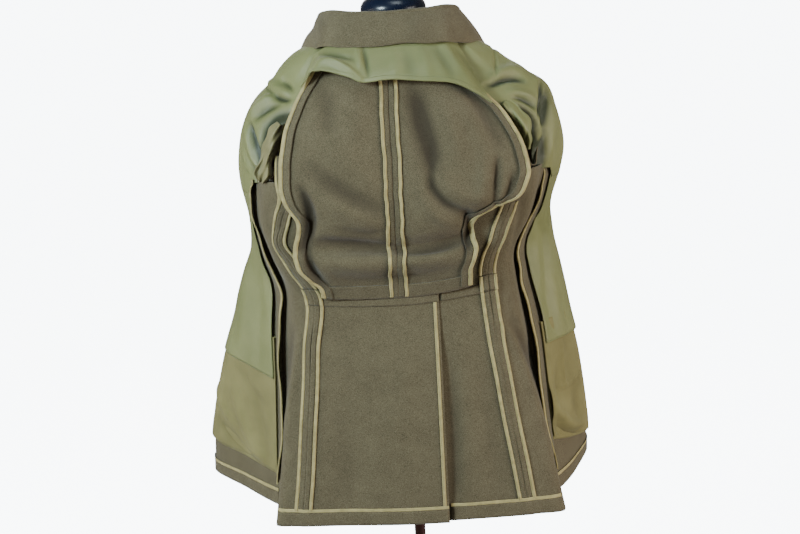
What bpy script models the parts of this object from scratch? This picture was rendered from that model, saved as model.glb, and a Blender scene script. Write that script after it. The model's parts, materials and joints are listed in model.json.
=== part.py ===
"""Military dress tunic turned inside out on a limbless dress form with a pole and a round foot.

Metres, +Z up, origin at the middle of the foot's underside.  The tunic's back faces -Y, its open
fronts hang round to +Y.  Names end in _l on the -X side and _r on the +X side.  The cut, in the order
it is put together: upper back with action pleats, gussets, side bodies, skirts with a centre vent,
fronts, facings, half lining, pocket bags, sleeves, collar, bound seams and buttons.
"""
import math
from collections import namedtuple

import bpy
import numpy as np

CM = 0.01

# Driving dimensions.
HEM_Z = 71.2               # lower edge of the back skirt, in centimetres as in the tables
WAIST_Z = 109.2            # waist seam at the left side, in centimetres as in the tables
WOOL = 0.0020              # one layer of wool serge
FOLDED_WOOL = 0.0016       # pressed seam allowances and turn-ups
SATEEN = 0.0011            # cotton sateen lining and pocket twill
TAPE = 0.0011              # binding tape folded over an edge
SEAM_GAP = 0.0003          # clearance kept between pieces that are sewn together
LAYER_GAP = 0.0006         # clearance between a panel and what lies on it
VENT_X = 0.0485            # pressed edge of the left skirt, which laps over the right one
CENTRE_X = -0.015          # the tunic sits a little to -X of the form's pole

FORM_TOP_Z = 1.530
POLE_RADIUS = 0.0095
BASE_RADIUS = 0.175
BASE_HEIGHT = 0.022

Level = namedtuple("Level", (
    "centre_z back_z side_z front_z centre_y seam_x seam_y turn_x turn_y valley_x valley_y root_x root_y "
    "mid_x mid_y wide_x wide_y round_x round_y edge_x edge_y"))

# One row for each level of the body from the hem to the neck, in centimetres; x is measured outwards
# from the form's pole.  Stations run from the centre back over the side-back seam, the turn of the
# side body, the valley at the side-front seam, the root of its flap, the middle and the widest place
# of the front, the rounding of the front and its free edge.
LEVELS_R = (
    Level(HEM_Z, HEM_Z, HEM_Z, 72.6, -14.0, 18.3, -12.9, 24.4, -10.6, 22.6, -3.8, 24.2, -2.0,
          28.0, 4.0, 31.0, 11.4, 30.0, 16.5, 25.2, 20.6),
    Level(80.0, 80.0, 80.0, 80.0, -13.7, 16.9, -12.7, 22.5, -10.3, 21.9, -3.6, 23.6, -2.2,
          27.6, 4.0, 30.9, 11.0, 29.8, 16.2, 24.9, 20.2),
    Level(92.0, 92.0, 92.0, 92.0, -12.9, 15.2, -11.9, 19.3, -9.0, 20.4, -3.4, 22.7, -2.1,
          26.6, 3.8, 29.4, 9.6, 28.6, 15.0, 23.6, 19.2),
    Level(101.0, 101.0, 101.0, 101.0, -12.0, 13.9, -11.1, 17.7, -8.2, 19.2, -3.2, 21.9, -1.9,
          25.2, 3.2, 27.4, 7.8, 26.9, 13.2, 21.8, 18.2),
    Level(108.8, 110.2, 110.0, WAIST_Z, -11.2, 12.9, -10.2, 16.2, -7.6, 17.5, -3.0, 20.1, -1.6,
          23.6, 2.6, 25.9, 6.4, 25.5, 11.8, 20.0, 17.2),
    Level(115.0, 115.0, 115.0, 115.0, -11.6, 13.4, -10.6, 16.2, -7.8, 17.0, -3.2, 20.0, -1.4,
          23.0, 1.8, 24.8, 4.4, 24.5, 10.6, 18.0, 16.6),
    Level(121.0, 121.0, 121.0, 121.0, -12.4, 15.8, -11.4, 19.0, -8.6, 20.0, -4.2, 22.6, -2.0,
          23.8, 0.3, 24.4, 2.4, 23.8, 9.4, 16.0, 16.0),
    Level(126.5, 126.5, 126.5, 126.5, -12.9, 17.6, -11.6, 20.4, -9.0, 22.2, -5.4, 24.0, -3.0,
          25.2, -0.4, 25.9, 2.0, 23.6, 8.8, 14.0, 15.4),
    Level(131.5, 131.5, 131.5, 131.0, -12.8, 18.0, -11.2, 20.8, -8.8, 23.4, -5.8, 24.8, -3.4,
          26.0, -1.0, 26.4, 1.6, 23.2, 8.2, 12.4, 14.6),
    Level(137.5, 137.5, 137.6, 136.5, -12.4, 17.4, -10.2, 20.2, -8.0, 22.8, -5.6, 24.2, -3.6,
          25.0, -1.4, 25.2, 0.9, 21.6, 7.0, 10.4, 13.2),
    Level(141.8, 141.8, 141.8, 141.0, -11.6, 15.0, -8.8, 17.8, -7.0, 20.2, -4.9, 21.8, -3.3,
          22.8, -1.5, 23.2, 0.5, 19.0, 5.6, 9.0, 11.6),
    Level(145.3, 145.3, 145.1, 144.0, -10.4, 10.4, -7.4, 12.6, -5.9, 14.4, -4.0, 15.6, -2.6,
          16.4, -1.2, 16.8, 0.3, 14.2, 4.4, 7.8, 10.0),
    Level(148.4, 148.4, 147.4, 146.4, -9.0, 5.6, -6.4, 6.9, -5.2, 8.1, -3.8, 8.8, -2.4,
          9.2, -1.0, 9.4, 0.3, 8.7, 3.8, 6.3, 8.2),
)
LEVELS_L = (
    Level(HEM_Z, HEM_Z, HEM_Z, 71.9, -14.0, 19.4, -12.9, 24.0, -10.6, 22.4, -4.2, 24.0, -2.4,
          30.0, 4.4, 36.2, 11.6, 36.0, 17.4, 31.6, 22.6),
    Level(80.0, 80.0, 80.0, 80.0, -13.7, 18.4, -12.7, 22.5, -10.3, 21.8, -4.0, 23.6, -2.4,
          29.6, 4.4, 35.6, 11.2, 35.3, 17.0, 30.8, 22.0),
    Level(92.0, 92.0, 92.0, 92.0, -12.9, 17.0, -12.0, 20.0, -9.6, 21.2, -3.8, 22.9, -2.4,
          28.0, 4.0, 32.8, 10.0, 32.6, 15.6, 28.0, 20.6),
    Level(101.0, 101.0, 101.0, 101.0, -12.0, 16.1, -11.2, 18.4, -8.8, 20.7, -3.8, 22.6, -2.5,
          26.6, 3.0, 30.0, 8.4, 29.7, 13.8, 25.0, 19.2),
    Level(108.8, WAIST_Z, WAIST_Z, WAIST_Z, -11.2, 15.3, -10.2, 17.6, -8.2, 20.0, -4.0, 22.1, -2.6,
          25.2, 2.2, 27.6, 6.4, 27.1, 12.0, 22.0, 18.0),
    Level(115.0, 115.0, 115.0, 115.0, -11.6, 18.2, -10.6, 19.8, -8.6, 21.2, -4.8, 23.6, -2.8,
          25.0, 0.8, 25.9, 4.4, 25.3, 10.6, 19.2, 17.0),
    Level(121.0, 121.0, 121.0, 121.0, -12.4, 19.4, -11.2, 21.2, -9.2, 22.9, -5.6, 24.6, -3.2,
          25.2, -0.2, 25.4, 2.4, 24.3, 9.4, 16.4, 16.2),
    Level(126.5, 126.5, 126.5, 126.5, -12.9, 18.9, -11.5, 21.2, -9.4, 23.0, -6.2, 24.6, -3.6,
          25.8, -0.8, 26.2, 1.8, 23.9, 8.6, 14.2, 15.4),
    Level(131.5, 131.5, 131.5, 131.0, -12.8, 18.8, -11.2, 20.8, -9.0, 22.8, -6.2, 24.4, -3.8,
          25.7, -1.2, 26.2, 1.4, 23.1, 8.0, 12.8, 14.6),
    Level(137.5, 137.5, 137.6, 136.5, -12.4, 17.8, -10.2, 20.2, -8.0, 22.2, -5.8, 23.6, -3.8,
          24.5, -1.6, 24.9, 0.8, 21.3, 6.8, 11.6, 13.2),
    Level(141.8, 141.8, 142.0, 141.0, -11.6, 15.6, -8.8, 17.8, -7.0, 19.8, -5.0, 21.0, -3.4,
          21.8, -1.6, 22.2, 0.4, 18.8, 5.4, 10.8, 11.6),
    Level(145.3, 145.3, 145.4, 144.0, -10.4, 12.4, -7.4, 14.2, -5.9, 15.8, -4.0, 16.8, -2.6,
          17.4, -1.2, 17.6, 0.3, 15.4, 4.4, 9.9, 10.0),
    Level(148.4, 148.4, 147.4, 146.4, -9.0, 7.8, -6.4, 9.2, -5.2, 10.4, -3.8, 11.1, -2.4,
          11.5, -1.0, 11.7, 0.3, 10.9, 3.8, 8.4, 8.2),
)
# Level numbers of the places that pieces refer to.
HEM, WAIST, UNDERARM, ARM_MIDDLE, ARM_TOP, SHOULDER_TIP, NECK = 0, 4, 7, 8, 9, 10, 12
HEM_TAPE_LOW, HEM_TAPE_TOP, BAG_BOTTOM, LINING_HEM = 0.27, 0.34, 0.70, 2.33
# Station numbers along a level; VENT is the pressed edge of the vent, on the +X side only.
VENT, SEAM, TURN, VALLEY, ROOT, MIDDLE, WIDE, ROUND, EDGE = 0.5, 1, 2, 3, 4, 5, 6, 7, 8

Back = namedtuple("Back", "z left_x right_x left_z right_z centre_y middle_y edge_y")

# The upper back between the two pleat edges, from the waist seam to the neck, in centimetres.
# It blouses over the waist with one roll, hangs full below the shoulder blades and, on the right,
# its lower corner is drawn in towards the centre.
BACK_ROWS = (
    Back(109.0, 13.9, 10.6, 109.4, 110.35, -11.5, -11.5, -11.3),
    Back(112.3, 14.6, 10.2, 112.2, 112.9, -12.7, -13.2, -12.9),
    Back(115.3, 16.8, 10.5, 115.2, 115.6, -14.0, -14.6, -13.7),
    Back(118.0, 17.4, 10.9, 118.2, 118.4, -13.8, -13.8, -13.1),
    Back(121.6, 17.0, 11.3, 121.8, 121.2, -14.9, -15.5, -13.9),
    Back(125.0, 17.5, 16.9, 125.0, 124.6, -15.0, -15.9, -14.2),
    Back(129.0, 18.4, 19.2, 129.0, 128.6, -14.8, -15.6, -13.9),
    Back(134.0, 18.4, 18.1, 134.0, 133.8, -14.3, -14.9, -13.1),
    Back(138.5, 16.7, 15.6, 138.3, 138.2, -13.6, -14.0, -12.2),
    Back(142.5, 15.3, 12.1, 142.2, 141.9, -12.8, -13.0, -11.3),
    Back(145.8, 13.9, 10.2, 145.0, 145.0, -11.6, -11.6, -10.2),
    Back(148.2, 11.0, 8.2, 147.2, 147.2, -10.0, -9.8, -8.9),
)

Flap = namedtuple("Flap", "z left_x left_y right_x right_y")

# Bound edge of the side-front seam flap, which stands off towards the back, in centimetres.
FLAP_ROWS = (
    Flap(75.5, 23.9, -4.9, 24.0, -4.7),
    Flap(85.0, 22.5, -5.1, 22.2, -5.0),
    Flap(95.0, 22.2, -5.1, 21.2, -5.0),
    Flap(104.0, 21.5, -5.2, 20.0, -5.0),
    Flap(110.0, 20.9, -5.6, 18.7, -5.2),
    Flap(115.0, 22.7, -6.0, 18.5, -5.4),
    Flap(121.0, 24.4, -6.0, 21.6, -5.4),
    Flap(126.0, 24.6, -6.0, 23.0, -4.8),
)

Ring = namedtuple("Ring", "x y z across_x across_y top_x top_z")

# Middle lines of the sleeve that hangs inside, from its armhole to the cuff, in centimetres for +X;
# across is half the flattened width, top the half thickness that was the crown of the armhole.
SLEEVE_RINGS = (
    Ring(20.9, -7.9, 132.2, 1.05, 1.15, -0.2, 3.6),
    Ring(19.4, -5.6, 129.6, 0.7, 2.3, -0.8, 2.9),
    Ring(17.9, -1.8, 124.5, 0.0, 4.2, -1.1, 0.9),
    Ring(16.0, 0.6, 118.0, 0.0, 5.0, -0.9, 0.2),
    Ring(14.9, 1.6, 109.2, 0.0, 5.2, -0.8, 0.0),
    Ring(16.6, 1.9, 99.0, 0.0, 5.8, -1.0, 0.0),
    Ring(17.9, 2.2, 89.0, 0.0, 6.4, -1.2, 0.0),
    Ring(18.6, 2.4, 79.5, 0.0, 6.6, -1.3, 0.0),
)

Neckline = namedtuple("Neckline", "station fold_x fold_y fold_z fall_x fall_y fall_z")

# The collar's fold and the lower edge of its fall from the centre back to its front end, in
# centimetres, x measured outwards from the tunic's centre line.
COLLAR_ROWS = (
    Neckline(0.0, 0.0, -7.6, 153.5, 0.0, -10.6, 148.9),
    Neckline(0.9, 6.0, -6.6, 153.7, 6.2, -10.2, 149.0),
    Neckline(2.0, 9.6, -4.3, 153.9, 10.6, -8.0, 148.9),
    Neckline(4.5, 11.0, -0.5, 152.9, 15.6, -0.2, 147.0),
    Neckline(7.0, 10.2, 4.0, 149.6, 14.6, 5.4, 144.7),
    Neckline(8.0, 8.0, 7.8, 146.9, 11.6, 11.2, 141.9),
)

Yoke = namedtuple("Yoke", "x top_y top_z low_x low_y low_z")

# The loose half-lining flap below the collar, from its left end to its right tip, in centimetres.
YOKE_ROWS = (
    Yoke(-13.0, -8.8, 147.2, -14.9, -12.2, 143.4),
    Yoke(-10.6, -9.1, 148.2, -12.2, -13.6, 145.8),
    Yoke(-7.5, -9.2, 148.6, -7.8, -14.6, 145.0),
    Yoke(-4.6, -9.4, 148.8, -5.2, -14.9, 143.9),
    Yoke(-1.2, -9.4, 148.8, -1.2, -14.9, 144.0),
    Yoke(3.5, -9.4, 148.8, 3.7, -14.9, 143.7),
    Yoke(7.0, -9.1, 148.8, 8.2, -14.5, 143.2),
    Yoke(8.6, -9.1, 148.7, 11.6, -14.0, 141.4),
    Yoke(9.3, -8.9, 148.5, 14.4, -13.2, 139.5),
)

# The form's torso, smooth rings from its base plate to the neck, in centimetres.
Torso = namedtuple("Torso", "z half_width half_depth centre_y")
TORSO_ROWS = (
    Torso(80.0, 13.2, 8.8, 0.0), Torso(82.0, 14.4, 9.6, 0.0), Torso(92.0, 15.4, 10.4, 0.0),
    Torso(101.0, 13.8, 9.4, 0.2), Torso(110.0, 12.2, 8.6, 0.4), Torso(118.0, 13.6, 9.8, 0.6),
    Torso(126.0, 15.0, 11.0, 0.6), Torso(133.0, 15.8, 10.6, 0.3), Torso(138.5, 16.2, 8.8, 0.0),
    Torso(142.0, 13.8, 6.8, -0.2), Torso(144.6, 9.2, 5.9, -0.2), Torso(147.0, 6.2, 5.5, 0.0),
    Torso(150.0, 5.2, 5.2, 0.0), Torso(FORM_TOP_Z / CM, 5.0, 5.0, 0.0),
)


def clear_scene():
    for old in list(bpy.data.objects):
        bpy.data.objects.remove(old, do_unlink=True)


def finish(name, colour, roughness, metallic=0.0):
    """A plain Principled material for one finish."""
    made = bpy.data.materials.new(name)
    made.use_nodes = True
    shader = made.node_tree.nodes["Principled BSDF"]
    shader.inputs["Base Color"].default_value = (*colour, 1.0)
    shader.inputs["Roughness"].default_value = roughness
    shader.inputs["Metallic"].default_value = metallic
    return made


def keep(name, mesh, material):
    """Name an object, give it its material and put it in the tunic's collection."""
    made = bpy.data.objects.new(name, mesh)
    mesh.materials.append(material)
    TUNIC.objects.link(made)
    return made


def through(rows, place):
    """A smooth curve through the rows (Catmull-Rom), read at a row number that need not be whole."""
    last = len(rows) - 1
    first = int(min(max(math.floor(place), 0), last - 1))
    part = place - first
    here, after = rows[first], rows[first + 1]
    before = rows[first - 1] if first > 0 else 2 * here - after
    beyond = rows[first + 2] if first + 2 <= last else 2 * after - here
    ramp = (after - before) / 2
    fall = (beyond - here) / 2
    cubic = 2 * here - 2 * after + ramp + fall
    square = 3 * after - 3 * here - 2 * ramp - fall
    return ((cubic * part + square) * part + ramp) * part + here


def ease(value):
    clipped = min(max(value, 0.0), 1.0)
    return clipped * clipped * (3 - 2 * clipped)


SIDES = {-1: np.array(LEVELS_L, dtype=float), 1: np.array(LEVELS_R, dtype=float)}


def body_point(station, level):
    """The outward skin of the body; a negative station is on the -X side."""
    side = -1 if station < 0 else 1
    row = through(SIDES[side], level)
    away = abs(station)
    centre = np.array([CENTRE_X / CM * side, row[4]])
    outline = np.array([row[5 + 2 * i:7 + 2 * i] for i in range(EDGE)])
    if away <= SEAM:
        share = away
        if side > 0:
            vent = (VENT_X - CENTRE_X) / CM / (outline[0][0] - centre[0])
            share = float(np.interp(away, [0.0, VENT, SEAM], [0.0, vent, 1.0]))
        flat = centre + (outline[0] - centre) * np.array([share, share * share])
    elif away <= ROOT:
        first = int(min(math.floor(away), VALLEY))
        flat = outline[first - 1] + (outline[first] - outline[first - 1]) * (away - first)
        if away < TURN:
            swell = 0.35 * math.sin(math.pi * (away - SEAM))
            across = outline[1] - outline[0]
            flat = flat + np.array([-across[1], across[0]]) / np.linalg.norm(across) * -swell
    else:
        flat = through(outline[ROOT - 1:], away - ROOT)
    height = row[0] + (row[1] - row[0]) * min(away, 1.0) ** 2
    height += (row[2] - row[1]) * ease(away - SEAM) + (row[3] - row[2]) * ease((away - ROOT) / 2)
    return np.array([flat[0] * side, flat[1], height]) * CM


BACK_TABLE = np.array(BACK_ROWS, dtype=float)


def back_point(share, level):
    """The upper back; share runs from -1 at the left pleat edge to 1 at the right one."""
    row = Back(*through(BACK_TABLE, level))
    away = abs(share)
    edge_x = -row.left_x if share < 0 else row.right_x
    edge_z = row.left_z if share < 0 else row.right_z
    centre = CENTRE_X / CM
    bulge = 4 * away * (1 - away) * (row.middle_y - (row.centre_y + row.edge_y) / 2)
    depth = row.centre_y + (row.edge_y - row.centre_y) * away ** 2 + bulge
    height = row.z + (edge_z - row.z) * away ** 2
    return np.array([centre + (edge_x - centre) * away, depth, height]) * CM


def level_at(point, station, height, top):
    """The level number at which a skin reaches a height, at one station."""
    marks = np.linspace(0, top, 241)
    heights = [point(station, mark)[2] for mark in marks]
    return float(np.interp(height, heights, marks))


class Skin:
    """A surface read on a fixed grid, so that every layer on it shares the same facets."""

    def __init__(self, point, stations, levels, creases=(), flip=False):
        self.stations = list(stations)
        self.levels = list(levels)
        self.points = np.array([[point(s, t) for t in self.levels] for s in self.stations])
        self.normals = np.array([[self.normal(point, s, t, creases) for t in self.levels]
                                 for s in self.stations])
        if flip:
            self.normals = -self.normals

    def normal(self, point, station, level, creases):
        """The outward direction, taken from one side only beside a crease."""
        step = 0.02
        below, above = station - step, station + step
        for crease in creases:
            if 0 < station - crease < step:
                below = station
            if 0 < crease - station < step:
                above = station
        low = max(level - step, self.levels[0])
        high = min(level + step, self.levels[-1])
        along = point(above, level) - point(below, level)
        up = point(station, high) - point(station, low)
        out = np.cross(along, up)
        return out / np.linalg.norm(out)

    def at(self, station, level, offset):
        """A point of the faceted skin, moved outwards; each cell is two triangles."""
        i = int(np.clip(np.searchsorted(self.stations, station, "right") - 1, 0, len(self.stations) - 2))
        j = int(np.clip(np.searchsorted(self.levels, level, "right") - 1, 0, len(self.levels) - 2))
        u = (station - self.stations[i]) / (self.stations[i + 1] - self.stations[i])
        v = (level - self.levels[j]) / (self.levels[j + 1] - self.levels[j])
        middle = (i + 1, j) if u >= v else (i, j + 1)
        corners = ((i, j), middle, (i + 1, j + 1))
        weights = (1 - max(u, v), abs(u - v), min(u, v))
        place = sum(w * self.points[c] for w, c in zip(weights, corners))
        out = sum(w * self.normals[c] for w, c in zip(weights, corners))
        return place + out * offset


def lines_between(lines, low, high):
    """The grid lines inside a range, with the range's own ends."""
    margin = 0.12 * min(b - a for a, b in zip(lines, lines[1:]))
    inside = [line for line in lines if low + margin < line < high - margin]
    return [low, *inside, high]


def wall(name, material, skin, across, up, low, high, hole=None):
    """One closed layer of cloth on a skin, between two offsets, with an opening left where asked."""
    columns = lines_between(skin.stations, *across)
    rows = lines_between(skin.levels, *up)
    offset = (lambda s, t, side: (low, high)[side]) if not callable(low) else low
    cells = [(i, j) for i in range(len(columns) - 1) for j in range(len(rows) - 1)
             if not (hole and hole[0] <= columns[i] < hole[1] and hole[2] <= rows[j] < hole[3])]
    places = []
    numbers = {}

    def corner(i, j, side):
        key = (i, j, side)
        if key not in numbers:
            numbers[key] = len(places)
            places.append(tuple(skin.at(columns[i], rows[j], offset(columns[i], rows[j], side))))
        return numbers[key]

    faces = []
    edges = set()
    for i, j in cells:
        a, b, c, d = (i, j), (i + 1, j), (i + 1, j + 1), (i, j + 1)
        for triangle in ((a, b, c), (a, c, d)):
            faces.append([corner(*p, 1) for p in triangle])
            faces.append([corner(*p, 0) for p in reversed(triangle)])
        edges.update(((a, b), (b, c), (c, d), (d, a)))
    for a, b in sorted(edges):
        if (b, a) not in edges:
            faces.append([corner(*b, 1), corner(*a, 1), corner(*a, 0), corner(*b, 0)])
    mesh = bpy.data.meshes.new(name)
    mesh.from_pydata(places, [], faces)
    made = keep(name, mesh, material)
    point_outwards(made)
    return made


def mirrored(low, high, side):
    """A range of stations on one side, in rising order."""
    return (low, high) if side > 0 else (-high, -low)


def tube(name, material, ring_point, around, rings, thickness):
    """An open tube wall: rings of points, with an inner skin moved in by the cloth's thickness."""
    outer = np.array([[ring_point(k / around, r) for k in range(around)] for r in rings])
    centres = outer.mean(axis=1, keepdims=True)
    following = np.roll(outer, -1, axis=1) - np.roll(outer, 1, axis=1)
    lengthwise = np.gradient(outer, axis=0)
    out = np.cross(following, lengthwise)
    out /= np.linalg.norm(out, axis=2, keepdims=True)
    if (out * (outer - centres)).sum() < 0:
        out = -out
    inner = outer - out * thickness
    points = [tuple(p) for p in outer.reshape(-1, 3)] + [tuple(p) for p in inner.reshape(-1, 3)]
    total = outer.shape[0] * around
    faces = []
    for r in range(outer.shape[0] - 1):
        for k in range(around):
            after = (k + 1) % around
            quad = [r * around + k, r * around + after, (r + 1) * around + after, (r + 1) * around + k]
            faces.append(quad)
            faces.append([total + v for v in reversed(quad)])
    for r in (0, outer.shape[0] - 1):
        for k in range(around):
            a, b = r * around + k, r * around + (k + 1) % around
            rim = [b, a, total + a, total + b]
            faces.append(rim if r == 0 else rim[::-1])
    mesh = bpy.data.meshes.new(name)
    mesh.from_pydata(points, [], faces)
    mesh.validate()
    made = keep(name, mesh, material)
    point_outwards(made)
    return made


def point_outwards(piece):
    """Turn a closed mesh so that its faces point out."""
    mesh = piece.data
    volume = 0.0
    for face in mesh.polygons:
        corners = [mesh.vertices[v].co for v in face.vertices]
        for k in range(1, len(corners) - 1):
            volume += corners[0].dot(corners[k].cross(corners[k + 1]))
    if volume < 0:
        mesh.flip_normals()


def turned(name, material, profile, steps=32):
    """A turned solid: a profile at +X, top to bottom, screwed round the Z axis."""
    mesh = bpy.data.meshes.new(name)
    points = [(radius, 0.0, height) for radius, height in profile]
    mesh.from_pydata(points, [(i, i + 1) for i in range(len(points) - 1)], [])
    made = keep(name, mesh, material)
    screw = made.modifiers.new("Turn", "SCREW")
    screw.steps = steps
    screw.render_steps = steps
    screw.use_merge_vertices = True
    screw.merge_threshold = 0.0001
    screw.use_smooth_shade = True
    return made


def torso_point(turn, row):
    """A ring of the form's torso, a rounded oval."""
    ring = Torso(*through(np.array(TORSO_ROWS, dtype=float), row))
    angle = 2 * math.pi * turn
    squareness = 0.86
    x = math.copysign(abs(math.cos(angle)) ** squareness, math.cos(angle)) * ring.half_width
    y = math.copysign(abs(math.sin(angle)) ** squareness, math.sin(angle)) * ring.half_depth
    return np.array([x, y + ring.centre_y, ring.z]) * CM


def dress_form(material):
    """The closed torso: lofted rings with flat end caps."""
    around, rows = 24, [0, 1, 1.5, 2, 2.5, 3, 3.5, 4, 4.5, 5, 5.5, 6, 6.5, 7, 7.5, 8, 8.5, 9, 9.5, 10,
                        10.5, 11, 12, 13]
    points = [tuple(torso_point(k / around, r)) for r in rows for k in range(around)]
    faces = [list(reversed(range(around)))]
    for r in range(len(rows) - 1):
        for k in range(around):
            after = (k + 1) % around
            faces.append([r * around + k, r * around + after, (r + 1) * around + after,
                          (r + 1) * around + k])
    faces.append([(len(rows) - 1) * around + k for k in range(around)])
    mesh = bpy.data.meshes.new("form_torso")
    mesh.from_pydata(points, [], faces)
    made = keep("form_torso", mesh, material)
    mesh.shade_smooth()
    mesh.set_sharp_from_angle(angle=math.radians(50))
    return made


def form_and_stand():
    """Limbless dress form, its neck cap, and the pole and round foot that carry it."""
    navy = finish("form_jersey", (0.012, 0.016, 0.035), 0.75)
    gloss = finish("neck_cap_gloss", (0.006, 0.012, 0.045), 0.12)
    brown = finish("stand_enamel", (0.055, 0.018, 0.016), 0.35)
    dress_form(navy)
    low = FORM_TOP_Z + SEAM_GAP
    dome = [(0.053 * math.sin(a), low + 0.010 + 0.030 * math.cos(a))
            for a in (math.radians(18 * k) for k in range(6))]
    turned("neck_cap", gloss, [(0.0, low + 0.040), *dome[1:], (0.052, low + 0.005),
                               (0.047, low + 0.001), (0.044, low), (0.0, low)], 24)
    foot = BASE_HEIGHT
    torso_low = TORSO_ROWS[0].z * CM
    turned("stand_pole", brown, [(0.0, torso_low - SEAM_GAP), (POLE_RADIUS, torso_low - SEAM_GAP),
                                 (POLE_RADIUS, foot + SEAM_GAP), (0.0, foot + SEAM_GAP)], 20)
    turned("stand_base", brown, [(0.0, foot), (0.020, foot), (0.150, foot - 0.004),
                                 (BASE_RADIUS - 0.006, foot - 0.008), (BASE_RADIUS, foot - 0.013),
                                 (BASE_RADIUS, 0.003), (BASE_RADIUS - 0.003, 0.0), (0.0, 0.0)], 40)


def body_skin():
    """The body's grid: its lines fall on the edges of the pieces that lie on it."""
    half = [0.1, 0.25, 0.4, VENT, 0.75, SEAM, 1.35, 1.7, TURN, 2.6, VALLEY - 0.01, VALLEY + 0.01, 3.5,
            ROOT, 4.5, MIDDLE, 5.5, WIDE, 6.5, ROUND, 7.5, EDGE]
    stations = [-s for s in reversed(half)] + [0.0] + half
    levels = [HEM, HEM_TAPE_LOW, HEM_TAPE_TOP, BAG_BOTTOM, 1.4, LINING_HEM, 3, WAIST, 5, 6, UNDERARM,
              ARM_MIDDLE, ARM_TOP, SHOULDER_TIP, 11, NECK]
    return Skin(body_point, stations, levels, creases=(-VALLEY, VALLEY))


def upper_back(skin, wool, tape):
    """Two upper backs joined at the centre seam, with its pressed-open allowance, and the pleats."""
    trim = 0.0012
    lift = 0.0030
    tape_line = 0.965
    for side, tag in ((-1, "l"), (1, "r")):
        wall(f"back_{tag}", wool, skin, mirrored(trim, 1.0, side), (0, 11), -WOOL, 0.0)
        wall(f"pleat_{tag}", wool, skin, mirrored(0.90, tape_line - 0.002, side), (0.5, 10),
             lift, lift + FOLDED_WOOL)
        wall(f"pleat_tape_{tag}", tape, skin, mirrored(tape_line, 0.995, side), (0.5, 10),
             lift - 0.0003, lift + FOLDED_WOOL + 0.0004)
        wall(f"back_seam_{tag}", wool, skin, mirrored(trim, 0.09, side), (0.5, 10),
             LAYER_GAP, LAYER_GAP + FOLDED_WOOL)


def skirts(skin, wool, tape):
    """Back skirts below the waist seam; the left one laps over the right one at the vent."""
    trim = 0.003
    lap = LAYER_GAP * 2 + WOOL
    waist = WAIST - 0.01
    wall("skirt_r", wool, skin, (-0.25, SEAM - trim), (HEM, waist), -WOOL, 0.0)

    def lifted(station, level, side):
        return lap * ease((station + 0.75) / 0.35) - (0.0 if side else WOOL)

    def folded_up(station, level, side):
        return lifted(station, level, 1) + LAYER_GAP + side * FOLDED_WOOL

    def flat_up(station, level, side):
        return LAYER_GAP + side * FOLDED_WOOL

    wall("skirt_l", wool, skin, (-SEAM + trim, VENT), (HEM, waist), lifted, None)
    over = lap + LAYER_GAP
    wall("vent_tape", tape, skin, (0.40, 0.45), (HEM_TAPE_TOP + 0.02, WAIST - 0.14), over, over + TAPE)
    for tag, across, layer in (("l", (-TURN, VENT), folded_up), ("r", (VENT + 0.02, TURN), flat_up)):
        wall(f"hem_{tag}", wool, skin, across, (HEM + 0.01, HEM_TAPE_LOW - 0.004), layer, None)
        wall(f"hem_tape_{tag}", tape, skin, across, (HEM_TAPE_LOW, HEM_TAPE_TOP), layer, None)


def sides(skin, wool, tape):
    """Gussets behind the pleats, side bodies from underarm to hem, and their bound seams."""
    trim = 0.004
    for side, tag in ((-1, "l"), (1, "r")):
        wall(f"gusset_{tag}", wool, skin, mirrored(0.75, SEAM - trim, side), (WAIST + 0.02, ARM_MIDDLE),
             -WOOL, 0.0)
        wall(f"side_{tag}", wool, skin, mirrored(SEAM + trim, VALLEY - 0.01, side), (HEM, UNDERARM),
             -WOOL, 0.0)
        high = UNDERARM if side < 0 else 6
        wall(f"side_seam_in_{tag}", tape, skin, mirrored(SEAM - 0.085, SEAM - trim, side),
             (HEM_TAPE_TOP + 0.02, WAIST - 0.14), LAYER_GAP, LAYER_GAP + FOLDED_WOOL)
        wall(f"side_seam_out_{tag}", tape, skin, mirrored(SEAM + trim, SEAM + 0.35, side),
             (HEM_TAPE_TOP + 0.02, high), LAYER_GAP, LAYER_GAP + FOLDED_WOOL)


def waist_seam(skin, back, wool):
    """Pressed-open waist seam: one strip up on the upper back, one down on the skirts."""
    low, high = WAIST - 0.13, WAIST - 0.03
    over = LAYER_GAP * 3 + WOOL
    wall("waist_strip_low", wool, skin, (-SEAM + 0.10, VENT - 0.01), (low, high), over,
         over + FOLDED_WOOL)
    wall("waist_strip_low_r", wool, skin, (VENT + 0.02, SEAM - 0.10), (low, high), LAYER_GAP,
         LAYER_GAP + FOLDED_WOOL)
    wall("waist_strip_top", wool, back, (-0.97, 0.97), (0.03, 0.33), LAYER_GAP,
         LAYER_GAP + FOLDED_WOOL)


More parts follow.
